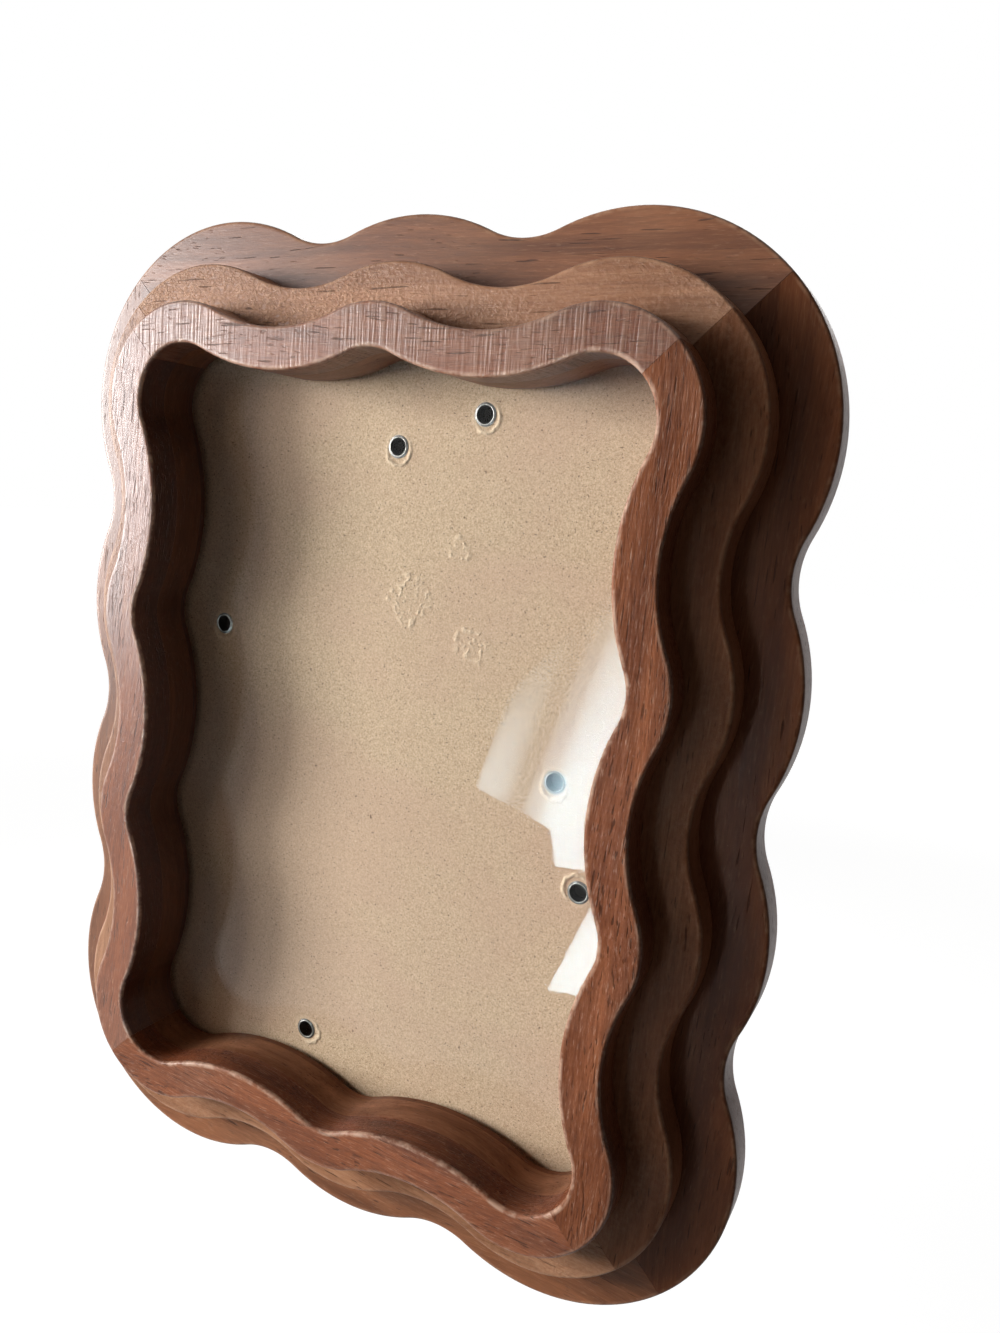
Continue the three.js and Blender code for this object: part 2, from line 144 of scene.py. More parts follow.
class Sweep:
    """Carries a section face along straight runs and arcs and leaves walls behind it."""

    def __init__(self, bm: BMesh, section: BMFace) -> None:
        """Starts at a section face that is already in its place."""
        self.bm = bm
        self.face = section

    @property
    def section(self) -> list[BMVert | BMEdge | BMFace]:
        """The section face with its rim."""
        return self.face.verts[:] + self.face.edges[:] + [self.face]

    def run(self, step: Vector) -> None:
        """Carries the section straight on.

        Args:
            step: How far and which way.
        """
        made = bmesh.ops.extrude_face_region(self.bm, geom=self.section)["geom"]
        bmesh.ops.translate(self.bm, vec=step, verts=parts_in(made, BMVert))
        self.face = parts_in(made, BMFace)[0]

    def arc(self, centre: Vector, angle: float, steps: int) -> None:
        """Carries the section round an upright axis.

        Args:
            centre: A point of the axis.
            angle: How far round it, in radians.
            steps: How many flat steps the arc has.
        """
        made = bmesh.ops.spin(
            self.bm, geom=self.section, cent=centre, axis=UP, angle=angle, steps=steps
        )
        self.face = parts_in(made["geom_last"], BMFace)[0]


def close_up(bm: BMesh) -> None:
    """Merges doubles, fills open ends and turns every face outwards.

    Args:
        bm: The mesh.
    """
    bmesh.ops.remove_doubles(bm, verts=bm.verts[:], dist=MERGE_REACH)
    bmesh.ops.holes_fill(bm, edges=bm.edges[:], sides=0)
    bmesh.ops.recalc_face_normals(bm, faces=bm.faces[:])


def ease(
    bm: BMesh, geometry: list[BMVert] | list[BMEdge], width: float, segments: int, affect: str
) -> None:
    """Rounds corners or edges.

    Args:
        bm: The mesh.
        geometry: The corners or edges.
        width: How wide the rounding is.
        segments: How many steps it has.
        affect: "VERTICES" for the corners of a flat section, "EDGES" for edges.
    """
    bmesh.ops.bevel(
        bm,
        geom=geometry,
        offset=width,
        segments=segments,
        profile=0.5,
        material=-1,
        affect=affect,
        clamp_overlap=affect == "EDGES",
    )


def soften(
    bm: BMesh, width: float, segments: int, chosen: Callable[[BMEdge], bool] | None = None
) -> None:
    """Rounds the sharp edges, or those that a test picks.

    Args:
        bm: The mesh.
        width: How wide the rounding is.
        segments: How many steps it has.
        chosen: The test on a sharp edge.
    """
    sharp = [e for e in bm.edges if e.is_manifold and e.calc_face_angle() > SMOOTH_ANGLE]
    ease(bm, list(filter(chosen, sharp)), width, segments, "EDGES")


def turned(
    corners: Sequence[tuple[float, float, float]], steps: int, round_steps: int = 5
) -> BMesh:
    """Turns a profile round the z axis.

    Args:
        corners: The closed profile's corners as (radius, height, rounding).
        steps: How many steps the full turn has.
        round_steps: How many steps each rounding has.

    Returns:
        The turned body.
    """
    bm = bmesh.new()
    verts = [bm.verts.new((radius, 0.0, height)) for radius, height, _ in corners]
    bm.faces.new(verts)
    for vert, (_, _, rounding) in zip(verts, corners):
        if rounding:
            ease(bm, [vert], rounding, round_steps, "VERTICES")
    bmesh.ops.delete(bm, geom=bm.faces[:], context="FACES_ONLY")
    on_axis = [e for e in bm.edges if max(v.co.x for v in e.verts) < ON_AXIS]
    bmesh.ops.delete(bm, geom=on_axis, context="EDGES")
    profile = bm.verts[:] + bm.edges[:]
    bmesh.ops.spin(
        bm, geom=profile, cent=ORIGIN, axis=UP, angle=math.tau, steps=steps, use_merge=True
    )
    close_up(bm)
    return bm


def add_disc(bm: BMesh, radius: float, depth: float, centre: Sequence[float], steps: int) -> None:
    """Adds an upright round bar to a mesh.

    Args:
        bm: The mesh.
        radius: The bar's radius.
        depth: How high it is.
        centre: Its middle.
        steps: How many flat steps it has.
    """
    bmesh.ops.create_cone(
        bm,
        cap_ends=True,
        segments=steps,
        radius1=radius,
        radius2=radius,
        depth=depth,
        matrix=Matrix.Translation(centre),
    )


def disc(radius: float, bottom: float, top: float, steps: int) -> BMesh:
    """Makes an upright round bar on the z axis.

    Args:
        radius: Its radius.
        bottom: The depth of its lower face.
        top: The depth of its upper face.
        steps: How many flat steps it has.

    Returns:
        The bar.
    """
    bm = bmesh.new()
    add_disc(bm, radius, top - bottom, (0.0, 0.0, (top + bottom) / 2), steps)
    return bm


def block(width: float, height: float, bottom: float, top: float) -> BMesh:
    """Makes a block about the z axis.

    Args:
        width: Its size along x.
        height: Its size along y.
        bottom: The depth of its lower face.
        top: The depth of its upper face.

    Returns:
        The block.
    """
    bm = bmesh.new()
    size = Matrix.Diagonal((width, height, top - bottom, 1.0))
    place = Matrix.Translation((0.0, 0.0, (top + bottom) / 2))
    bmesh.ops.create_cube(bm, size=1.0, matrix=place @ size)
    return bm


def moved(bm: BMesh, place: Matrix) -> BMesh:
    """Puts a mesh in its place and returns it."""
    bmesh.ops.transform(bm, matrix=place, verts=bm.verts[:])
    return bm


def linked(name: str, data: ID) -> Object:
    """Makes an object and puts it in the scene.

    Args:
        name: The object's name.
        data: Its mesh, lamp or camera.

    Returns:
        The object.
    """
    made = bpy.data.objects.new(name, data)
    bpy.context.scene.collection.objects.link(made)
    return made


def solid(name: str, bm: BMesh) -> Object:
    """Turns a mesh into an object of the scene.

    Args:
        name: The object's name.
        bm: The mesh, which is used up.

    Returns:
        The object.
    """
    mesh = bpy.data.meshes.new(name)
    bm.to_mesh(mesh)
    bm.free()
    return linked(name, mesh)


def cut(bm: BMesh, cutters: Sequence[BMesh]) -> BMesh:
    """Cuts closed bodies out of a closed body.

    Args:
        bm: The body, which is used up.
        cutters: The bodies to take away, which are used up.

    Returns:
        What is left.
    """
    stock = solid("stock", bm)
    for cutter in cutters:
        tool = solid("tool", cutter)
        step = stock.modifiers.new("cut", "BOOLEAN")
        step.operation = "DIFFERENCE"
        step.solver = "EXACT"
        step.object = tool
        bpy.context.view_layer.update()
        evaluated = stock.evaluated_get(bpy.context.evaluated_depsgraph_get())
        shaped = bpy.data.meshes.new_from_object(evaluated)
        stock.modifiers.clear()
        stock.data = shaped
        bpy.data.objects.remove(tool)
    left = bmesh.new()
    left.from_mesh(stock.data)
    bpy.data.objects.remove(stock)
    bmesh.ops.remove_doubles(left, verts=left.verts[:], dist=MERGE_REACH)
    return left


def finished(name: str, bm: BMesh, material: Material, body: str, node: str) -> None:
    """Stands a mesh upright and hands it to the frame in a CAD node's place.

    Args:
        name: The piece's name.
        bm: Its mesh, lying down in millimetres, which is used up.
        material: Its finish.
        body: The body it moves with.
        node: The node it stands for.
    """
    moved(bm, STAND)
    for face in bm.faces:
        face.smooth = face.calc_area() < BROAD_FACE
    for edge in bm.edges:
        edge.smooth = edge.is_manifold and edge.calc_face_angle() < SMOOTH_ANGLE
    open_edges = sum(not e.is_manifold for e in bm.edges)
    made = solid(name, bm)
    made.data.materials.append(material)
    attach(made, body)
    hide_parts(node)
    log.info("%s: %d faces, %d open edges", name, len(made.data.polygons), open_edges)


# The frame's four sides


class Side(Enum):
    """One side of the frame: label, turn from the top, rows of waves, grain, seed and polish."""

    TOP = ("top", 0.0, 2, 0.0, 1.0, 0.9)
    RIGHT = ("right", -90.0, 3, 90.0, 2.0, 0.2)
    BOTTOM = ("bottom", 180.0, 2, 0.0, 3.0, 0.34)
    LEFT = ("left", 90.0, 3, 90.0, 4.0, 1.0)

    def __init__(
        self, label: str, turn: float, pitches: int, grain: float, seed: float, polish: float
    ) -> None:
        """Takes a side's values.

        Args:
            label: The side's name in the names of pieces.
            turn: How far it is turned from the top, in degrees.
            pitches: How many pitches lie between its corner lobes.
            grain: The way of its rail, in degrees. The grain lies a little off it.
            seed: Moves the pattern of the wood.
            polish: How much of the finish's gloss its boards have taken.
        """
        self.label = label
        self.turn = math.radians(turn)
        self.pitches = pitches
        self.grain = math.radians(grain + 3.0 - 2.0 * seed)
        self.seed = seed
        self.polish = polish


# Finishes


class NodeWork:
    """Nodes put together in the tree of a material or of the world."""

    def __init__(self, owner: Material | World) -> None:
        """Starts with an empty tree.

        Args:
            owner: What the nodes belong to.
        """
        owner.use_nodes = True
        self.tree = owner.node_tree
        self.tree.nodes.clear()

    def node(self, kind: str, feeds: dict | None = None, **settings: object) -> Node:
        """Adds a node.

        Args:
            kind: The node's type.
            feeds: What goes into its sockets: another node's output or a value.
            settings: Its properties.

        Returns:
            The node.
        """
        made = self.tree.nodes.new(kind)
        for key, value in settings.items():
            setattr(made, key, value)
        for key, value in (feeds or {}).items():
            if isinstance(value, NodeSocket):
                self.tree.links.new(value, made.inputs[key])
            else:
                made.inputs[key].default_value = value
        return made

    def math(self, operation: str, first: Value, second: Value) -> NodeSocket:
        """Works out one sum of two values."""
        return self.node("ShaderNodeMath", {0: first, 1: second}, operation=operation).outputs[0]

    def times(self, first: Value, second: Value) -> NodeSocket:
        """Multiplies two values."""
        return self.math("MULTIPLY", first, second)

    def vector(self, operation: str, first: NodeSocket, second: object) -> NodeSocket:
        """Works out one sum of two vectors."""
        feeds = {0: first, 1: second}
        return self.node("ShaderNodeVectorMath", feeds, operation=operation).outputs[0]

    def noise(
        self,
        place: NodeSocket,
        scale: float | tuple[float, ...],
        detail: float = 2.0,
        rough: float = 0.5,
    ) -> NodeSocket:
        """Gives a cloudy pattern, about 0.5 on average.

        Args:
            place: Where it is read, in millimetres.
            scale: How many times it repeats in a millimetre: every way, along and across the
                grain, or along each axis.
            detail: How many finer layers it has.
            rough: How strong they are.

        Returns:
            The pattern.
        """
        each = (scale,) * 3 if isinstance(scale, float) else (scale[0], scale[1], scale[-1])
        feeds = {"Vector": self.vector("MULTIPLY", place, each), "Scale": 1.0}
        feeds.update({"Detail": detail, "Roughness": rough})
        return self.node("ShaderNodeTexNoise", feeds).outputs[0]

    def band(
        self, value: NodeSocket, low: float, high: float, start: float = 0.0, end: float = 1.0
    ) -> NodeSocket:
        """Spreads a part of a pattern's range.

        Args:
            value: The pattern.
            low: Its value where the result starts.
            high: Its value where the result ends.
            start: The result at low.
            end: The result at high.

        Returns:
            The spread pattern, which stays between start and end.
        """
        feeds = {0: value, 1: low, 2: high, 3: start, 4: end}
        return self.node("ShaderNodeMapRange", feeds, clamp=True).outputs[0]

    def mix(
        self, share: Value, first: NodeSocket | Colour, second: Colour, mode: str = "MIX"
    ) -> NodeSocket:
        """Mixes two colours.

        Args:
            share: How much of the second shows.
            first: The first colour.
            second: The second colour.
            mode: How they mix.

        Returns:
            The mixed colour.
        """
        feeds = {0: share, 6: first, 7: second}
        return self.node("ShaderNodeMix", feeds, data_type="RGBA", blend_type=mode).outputs[2]

    def metres(self) -> NodeSocket:
        """Gives the place on the piece in metres."""
        return self.node("ShaderNodeTexCoord").outputs["Object"]

    def seen(self) -> NodeSocket:
        """Tells apart what is seen, straight, in a mirror or through glass.

        Returns:
            1 for such a ray and 0 for any other.
        """
        path = self.node("ShaderNodeLightPath").outputs
        straight = self.math("MAXIMUM", path["Is Camera Ray"], path["Is Glossy Ray"])
        return self.math("MAXIMUM", straight, path["Is Transmission Ray"])


class NodeFinish(NodeWork):
    """A material whose colour and relief are built up in coats."""

    def __init__(self, name: str, ground: Colour = WHITE) -> None:
        """Starts with a plain ground colour.

        Args:
            name: The material's name.
            ground: The colour under all coats.
        """
        self.material = bpy.data.materials.new(name)
        super().__init__(self.material)
        self.colour: NodeSocket | Colour = ground
        self.relief: Value = 0.0

    def millimetres(self, turn: float = 0.0, seed: float = 0.0) -> NodeSocket:
        """Gives the place on the piece in millimetres, x along the grain.

        Args:
            turn: How far the grain is turned from x towards z, in radians.
            seed: Moves the pattern, so that pieces differ.

        Returns:
            The place.
        """
        feeds = {
            "Vector": self.metres(),
            "Location": tuple(seed * step for step in SEED_STEP),
            "Rotation": (0.0, turn, 0.0),
            "Scale": (1 / MM, 1 / MM, 1 / MM),
        }
        return self.node("ShaderNodeMapping", feeds, vector_type="POINT").outputs[0]

    def marked(self, name: str) -> NodeSocket:
        """Gives the marks that a piece's mesh carries under a name."""
        return self.node("ShaderNodeAttribute", attribute_name=name).outputs["Fac"]

    def coat(self, colour: Colour, share: Value, strength: float = 1.0) -> None:
        """Lays a colour over what is there.

        Args:
            colour: The colour.
            share: Where it lies, 0 to 1.
            strength: How much of it shows there.
        """
        if strength != 1.0:
            share = self.times(share, strength)
        self.colour = self.mix(share, self.colour, colour)

    def stain(self, shade: Shade, share: Value = 1.0) -> None:
        """Multiplies what is there by a shade."""
        self.colour = self.mix(share, self.colour, (*shade, 1.0), "MULTIPLY")

    def lift(self, pattern: Value, height: float) -> None:
        """Raises the surface by a pattern, in millimetres."""
        self.relief = self.math("ADD", self.relief, self.times(pattern, height))

    def show(self, shader: Node) -> Material:
        """Puts a shader on the surface and returns the material."""
        self.node("ShaderNodeOutputMaterial", {"Surface": shader.outputs[0]})
        return self.material

    def surface(self, roughness: NodeSocket, **constants: float) -> Material:
        """Gives the coats' colour and relief to a surface.

        Args:
            roughness: How rough it is.
            constants: The values of other inputs, with _ for a space.

        Returns:
            The material.
        """
        bump = {"Height": self.relief, "Distance": MM, "Strength": 1.0}
        normal = self.node("ShaderNodeBump", bump).outputs[0]
        feeds = {"Base Color": self.colour, "Roughness": roughness, "Normal": normal}
        feeds.update({name.replace("_", " "): value for name, value in constants.items()})
        return self.show(self.node("ShaderNodeBsdfPrincipled", feeds))


@dataclass(frozen=True)
class WoodFinish:
    """Oiled open-pored wood, planed or sawn. The other_ shares are for all but the top board."""

    name: str
    seed: float
    light: Colour
    dark: Colour
    pore: Colour
    # The pale colour of fibres, flecks, scuffs and rubbed edges; on the arrises it is also a
    # painted highlight.
    rub_and_highlight: Colour
    roughness: float
    specular: float
    pores: float
    fibres: float = 0.6
    pits: float = 0.0
    chatter: float = 0.0
    ridges: float = 0.0
    other_fuzz: float = 0.45
    other_ripples: float = 0.1
    left_ridges: float = 0.35
    sway: float = 9.0
    fibre_height: float = 0.05
    pore_depth: float = 0.1
    grit_height: float = 0.22
    ripple_height: float = 0.05
    streak_stain: Shade = (0.76, 0.71, 0.68)
    fibre_stain: Shade = (0.6, 0.53, 0.5)
    # Painted shade on the walls, most on the left; painted light and shade on the right-hand
    # boards; painted shade at the top board's right end.
    wall_painted_shade: Shade = (0.65, 0.59, 0.57)
    left_wall_painted_shade: Shade = (0.36, 0.29, 0.26)
    right_painted_light_and_shade: Shade = (0.78, 0.69, 0.65)
    corner_painted_shade: Shade | None = None

    def make(self, side: Side) -> Material:
        """Makes the finish for one side's rail.

        Args:
            side: The side, which sets the way of the grain.

        Returns:
            The material.
        """
        wood = NodeFinish(f"{self.name}_{side.label}", self.dark)
        here = wood.millimetres(side.grain, side.seed + self.seed)
        sway = wood.noise(here, (0.012, 0.05), 1.0)
        drift = wood.times(wood.math("SUBTRACT", sway, 0.5), self.sway)
        shift = wood.node("ShaderNodeCombineXYZ", {0: 0.0, 1: drift, 2: drift}).outputs[0]
        along = wood.vector("ADD", here, shift)
        fibre = self._growth(wood, here, along)
        walls = self._painted_shade(wood, side)
        open_pores = self._open_pores(wood, here, along, side)
        wood.lift(fibre, self.fibre_height * self.fibres)
        if self.pits:
            self._fuzz(wood, here, walls, side)
        if self.chatter:
            self._cutter_marks(wood, here, side)
        if self.ridges and side is not Side.TOP:
            share = self.left_ridges if side is Side.LEFT else 1.0
            wood.lift(wood.noise(along, (0.13, 1.1), 3.0, 0.6), self.ridges * share)
        self._wear_and_highlight(wood, here)
        gloss = wood.band(fibre, 0.3, 0.7, self.roughness - 0.05, self.roughness + 0.09)
        gloss = wood.math("ADD", gloss, wood.times(open_pores, 0.25))
        return wood.surface(gloss, Specular_IOR_Level=self.specular * side.polish)

    def _growth(self, wood: NodeFinish, here: NodeSocket, along: NodeSocket) -> NodeSocket:
        """Lays the growth rings, streaks and fibres.

        Args:
            wood: The finish so far.
            here: The place in millimetres.
            along: The place, swaying with the grain.

        Returns:
            The pattern of the fibres.
        """
        growth = wood.noise(along, (0.007, 0.16), 5.0, 0.62)
        streak = wood.noise(along, (0.03, 0.9), 4.0, 0.6)
        fibre = wood.noise(along, (0.24, 3.0), 4.0, 0.7)
        cloud = wood.noise(here, (0.028, 0.035))
        flecks = wood.noise(along, (0.4, 2.2))
        wood.coat(self.light, wood.band(growth, 0.36, 0.64))
        wood.stain(self.streak_stain, wood.band(streak, 0.45, 0.72))
        wood.coat(self.rub_and_highlight, wood.band(cloud, 0.5, 0.75, 0.0, 0.12))
        wood.stain(self.fibre_stain, wood.band(fibre, 0.44, 0.66, 0.0, 0.9 * self.fibres))
        wood.coat(self.rub_and_highlight, wood.band(fibre, 0.42, 0.26, 0.0, 0.35 * self.fibres))
        wood.coat(self.rub_and_highlight, wood.band(flecks, 0.63, 0.74, 0.0, 0.2 * self.fibres))
        return fibre

    def _painted_shade(self, wood: NodeFinish, side: Side) -> NodeSocket:
        """Paints shade on the walls and the top board's right end, and light and shade on right
        boards.

        Args:
            wood: The finish so far.
            side: The rail's side.

        Returns:
            Where the walls are.
        """
        facing = wood.node("ShaderNodeTexCoord").outputs["Normal"]
        facing = wood.node("ShaderNodeSeparateXYZ", {0: facing}).outputs[1]
        walls = wood.band(wood.math("ABSOLUTE", facing, 0.0), 0.75, 0.35)
        # Painted shade on the walls, darkest on the left side, whose walls face away from the
        # lamps.
        wood.stain(self.left_wall_painted_shade if side is Side.LEFT else self.wall_painted_shade, walls)
        # Painted shade on the right-hand boards of the back tiers, which lie in the front tier's
        # shadow; the front tier's right-hand board is painted lighter, as painted light.
        if side is Side.RIGHT:
            wood.stain(self.right_painted_light_and_shade)
        # Painted shade at the top board's right end, towards the shaded corner.
        if side is Side.TOP and self.corner_painted_shade:
            across = wood.node("ShaderNodeSeparateXYZ", {0: wood.metres()}).outputs[0]
            wood.stain(self.corner_painted_shade, wood.band(across, 0.018, 0.058))
        return walls

    def _open_pores(
        self, wood: NodeFinish, here: NodeSocket, along: NodeSocket, side: Side
    ) -> NodeSocket:
        """Opens short pores, in patches, and long ones everywhere.

        Args:
            wood: The finish so far.
            here: The place in millimetres.
            along: The place, swaying with the grain.
            side: The rail's side.

        Returns:
            The pattern of the pores.
        """
        thin = wood.noise(along, (0.34, 2.3), 1.0, 0.4)
        where = wood.noise(here, (0.04, 0.12))
        long = wood.noise(along, (0.11, 2.2), 1.0, 0.3)
        least, most = (0.0, 0.7) if side is Side.TOP else (0.25, 1.0)
        short_pores = wood.times(
            wood.band(thin, 0.7 - 0.08 * self.pores, 0.76 - 0.08 * self.pores),
            wood.band(where, 0.42, 0.64, least, most),
        )
        long_pores = wood.band(long, 0.72 - 0.03 * self.pores, 0.76 - 0.03 * self.pores)
        open_pores = wood.math("MAXIMUM", short_pores, long_pores)
        wood.coat(self.pore, open_pores, 0.7)
        wood.lift(open_pores, -self.pore_depth)
        return open_pores

    def _fuzz(self, wood: NodeFinish, here: NodeSocket, walls: NodeSocket, side: Side) -> None:
        """Raises sandy fuzz and pits, most on the top board.

        Args:
            wood: The finish so far.
            here: The place in millimetres.
            walls: Where the walls are, which stay smooth.
            side: The rail's side.
        """
        grit = wood.noise(here, (0.75, 1.1), 4.0, 0.7)
        place = wood.noise(here, (0.02, 0.03), 1.0)
        share = 1.0 if side is Side.TOP else self.other_fuzz
        rough = wood.band(place, 0.4, 0.62, 0.25 * share, share)
        rough = wood.times(rough, wood.math("SUBTRACT", 1.0, walls))
        sandy = wood.times(wood.band(grit, 0.42, 0.66), rough)
        wood.coat(self.rub_and_highlight, sandy, self.pits * 0.5)
        wood.coat(self.pore, wood.times(wood.band(grit, 0.4, 0.28), rough), self.pits * 0.6)
        wood.lift(sandy, self.pits * self.grit_height)

    def _cutter_marks(self, wood: NodeFinish, here: NodeSocket, side: Side) -> None:
        """Leaves a cutter's ripples across the grain, most on the top board.

        Args:
            wood: The finish so far.
            here: The place in millimetres.
            side: The rail's side.
        """
        ripples = wood.noise(here, (1.7, 0.15, 0.1))
        patch = wood.noise(here, 0.05, 1.0)
        marks = wood.times(wood.band(ripples, 0.36, 0.66), wood.band(patch, 0.36, 0.52, 0.3, 1.0))
        share = self.chatter * (1.0 if side is Side.TOP else self.other_ripples)
        wood.coat(self.rub_and_highlight, marks, share * 0.17)
        wood.lift(marks, share * self.ripple_height)

    def _wear_and_highlight(self, wood: NodeFinish, here: NodeSocket) -> None:
        """Lays a few scuffs, and the rub along the edges, which also paints a highlight on them.

        Args:
            wood: The finish so far.
            here: The place in millimetres.
        """
        scuffs = wood.band(wood.noise(here, (0.5, 1.7, 0.7), 3.0, 0.75), 0.7, 0.78)
        few = wood.band(wood.noise(here, 0.09, 1.0), 0.5, 0.62)
        wood.coat(self.rub_and_highlight, wood.times(scuffs, few), 0.35)
        # Rub and painted highlight together along the arrises, most at the window.
        patchy = wood.band(wood.noise(here, 0.25, 3.0, 0.7), 0.42, 0.62, 0.08, 0.6)
        wood.coat(self.rub_and_highlight, wood.times(wood.marked("rub_and_highlight"), patchy))


@dataclass(frozen=True)
class BoardFinish:
    """Bare fibreboard: matted fibres with pale flecks and dark specks."""

    body: Colour = tone(203, 174, 141)
    pale: Colour = tone(234, 213, 183)
    deep: Colour = tone(156, 126, 95)
    pink: Colour = tone(198, 164, 142)
    speck: Colour = tone(82, 60, 42)
    swirl: float = 12.0
    specular: float = 0.25

    def make(self) -> Material:
        """Makes the finish.

        Returns:
            The material.
        """
        board = NodeFinish("bare_fibreboard", self.deep)
        here = board.millimetres()
        felt = board.noise(here, 2.6, 4.0, 0.75)
        cloud = board.noise(here, (0.02, 0.02, 0.03), 3.0, 0.6)
        board.coat(self.pale, board.band(felt, 0.32, 0.68))
        board.coat(self.body, 0.25)
        board.coat(self.pink, board.band(cloud, 0.42, 0.6, 0.0, 0.375))
        flecks = board.band(board.noise(here, (1.4, 1.4, 3.0), 2.0, 0.6), 0.64, 0.74)
        board.coat(self.pale, flecks, 0.55)
        specks = board.band(board.noise(here, 2.1, 1.0, 0.3), 0.69, 0.75)
        board.coat(self.speck, specks, 0.7)
        board.coat(self.speck, board.band(board.noise(here, 0.8, 2.0, 0.6), 0.735, 0.765), 0.8)
        feeds = {"Vector": here, "Angle": board.times(board.noise(here, 0.05, 1.0), self.swirl)}
        spun = board.node("ShaderNodeVectorRotate", feeds, rotation_type="Y_AXIS").outputs[0]
        hairs = board.band(board.noise(spun, (0.35, 3.4), 1.0, 0.3), 0.7, 0.74)
        board.coat(self.pale, hairs, 0.7)
        fluff = board.band(board.noise(here, 2.2, 3.0, 0.7), 0.35, 0.6, 0.35, 1.0)
        crumbs = board.times(board.marked("torn"), fluff)
        board.coat(self.pale, crumbs)
        heights = ((felt, 0.05), (flecks, 0.02), (specks, -0.03), (hairs, 0.03), (crumbs, 0.16))
        for pattern, height in heights:
            board.lift(pattern, height)
        gloss = board.band(felt, 0.3, 0.7, 0.82, 0.95)
        return board.surface(gloss, Specular_IOR_Level=self.specular)


@dataclass(frozen=True)
class MetalFinish:
    """Plated metal with fine brush lines, a little tarnish and painted shade in the rivets' bores.
    """

    name: str
    bright: Colour
    dull: Colour
    roughness: float
    # Painted shade: the colour laid in the rivets' bores.
    bore: Colour = tone(34, 31, 28)

    def make(self) -> Material:
        """Makes the finish.

        Returns:
            The material.
        """
        metal = NodeFinish(self.name, self.bright)
        here = metal.millimetres()
        tarnish = metal.noise(here, 0.5, 4.0, 0.65)
        brushed = metal.noise(here, (0.9, 9.0), 2.0, 0.6)
        metal.coat(self.dull, metal.band(tarnish, 0.4, 0.68))
        # Painted shade in the rivets' bores, and part of that darkening on their shanks and
        # flanges.
        metal.coat(self.bore, metal.marked("bore"))
        metal.lift(brushed, 0.006)
        gloss = metal.band(brushed, 0.3, 0.7, self.roughness - 0.06, self.roughness + 0.1)
        gloss = metal.math("ADD", gloss, metal.band(tarnish, 0.45, 0.7, 0.0, 0.15))
        return metal.surface(gloss, Metallic=1.0)


@dataclass(frozen=True)
class GlassFinish:
    """Clear float glass that lets the lamps through to the board."""

    tint: Colour = (0.985, 0.99, 0.985, 1.0)
    roughness: float = 0.02
    ior: float = 1.22

    def make(self) -> Material:
        """Makes the finish.

        Returns:
            The material.
        """
        glass = NodeFinish("float_glass")
        feeds = {"Base Color": self.tint, "Roughness": self.roughness, "IOR": self.ior}
        feeds["Transmission Weight"] = 1.0
        shader = glass.node("ShaderNodeBsdfPrincipled", feeds)
        clear = glass.node("ShaderNodeBsdfTransparent").outputs[0]
        path = glass.node("ShaderNodeLightPath").outputs
        for ray in ("Is Shadow Ray", "Is Diffuse Ray"):
            feeds = {0: path[ray], 1: shader.outputs[0], 2: clear}
            shader = glass.node("ShaderNodeMixShader", feeds)
        return glass.show(shader)


# The wavy line and the tiers that follow it


@dataclass(frozen=True)
class WavyLine:
    """Round lobes on an even pitch, joined by round valleys, and every parallel curve."""

    pitch: float = 48.5
    crest_plus_valley: float = 59.3
    pitches_across: int = 2
    pitches_up: int = 3
    degrees_per_step: float = 2.4
    quarter: float = math.radians(45)
    overrun: float = math.radians(1.5)

    @property
    def half_angle(self) -> float:
        """Half of a lobe or a valley, in radians."""
        return math.asin(self.pitch / 2 / self.crest_plus_valley)

    @property
    def valley_out(self) -> float:
        """How far the valleys' centres lie outside the row of lobes."""
        return math.sqrt(self.crest_plus_valley**2 - (self.pitch / 2) ** 2)

    def distance(self, side: Side) -> float:
        """How far a side's row of lobes lies from the middle."""
        pitches = self.pitches_up if side.pitches == self.pitches_across else self.pitches_across
        return pitches * self.pitch / 2

    def place(self, side: Side) -> Matrix:
        """Gives the place of a side's rail, lying down."""
        turn = Matrix.Rotation(side.turn, 4, "Z")
        return turn @ Matrix.Translation((0.0, self.distance(side), 0.0))

    def trace(self, bm: BMesh, section: BMFace, pitches: int) -> None:
        """Carries a section from a little past one mitre to a little past the other.

        Args:
            bm: The mesh that holds the section.
            section: The section on the xz plane, x being the radius on a lobe.
            pitches: How many pitches the rail has.
        """
        first = Vector((-pitches * self.pitch / 2, 0.0, 0.0))
        start = math.radians(90) + self.quarter + self.overrun
        place = Matrix.Translation(first) @ Matrix.Rotation(start, 4, "Z")
        bmesh.ops.transform(bm, matrix=place, verts=section.verts[:])
        sweep = Sweep(bm, section)
        corner = self.quarter + self.overrun + self.half_angle
        self._turn(sweep, first, -corner)
        for wave in range(pitches):
            lobe = first + Vector((wave * self.pitch, 0.0, 0.0))
            valley = lobe + Vector((self.pitch / 2, self.valley_out, 0.0))
            self._turn(sweep, valley, 2 * self.half_angle)
            if wave < pitches - 1:
                self._turn(sweep, lobe + Vector((self.pitch, 0.0, 0.0)), -2 * self.half_angle)
        self._turn(sweep, -first, -corner)

    def _turn(self, sweep: Sweep, centre: Vector, angle: float) -> None:
        """Carries the section round a lobe's or a valley's centre."""
        steps = max(2, round(abs(math.degrees(angle)) / self.degrees_per_step))
        sweep.arc(centre, angle, steps)


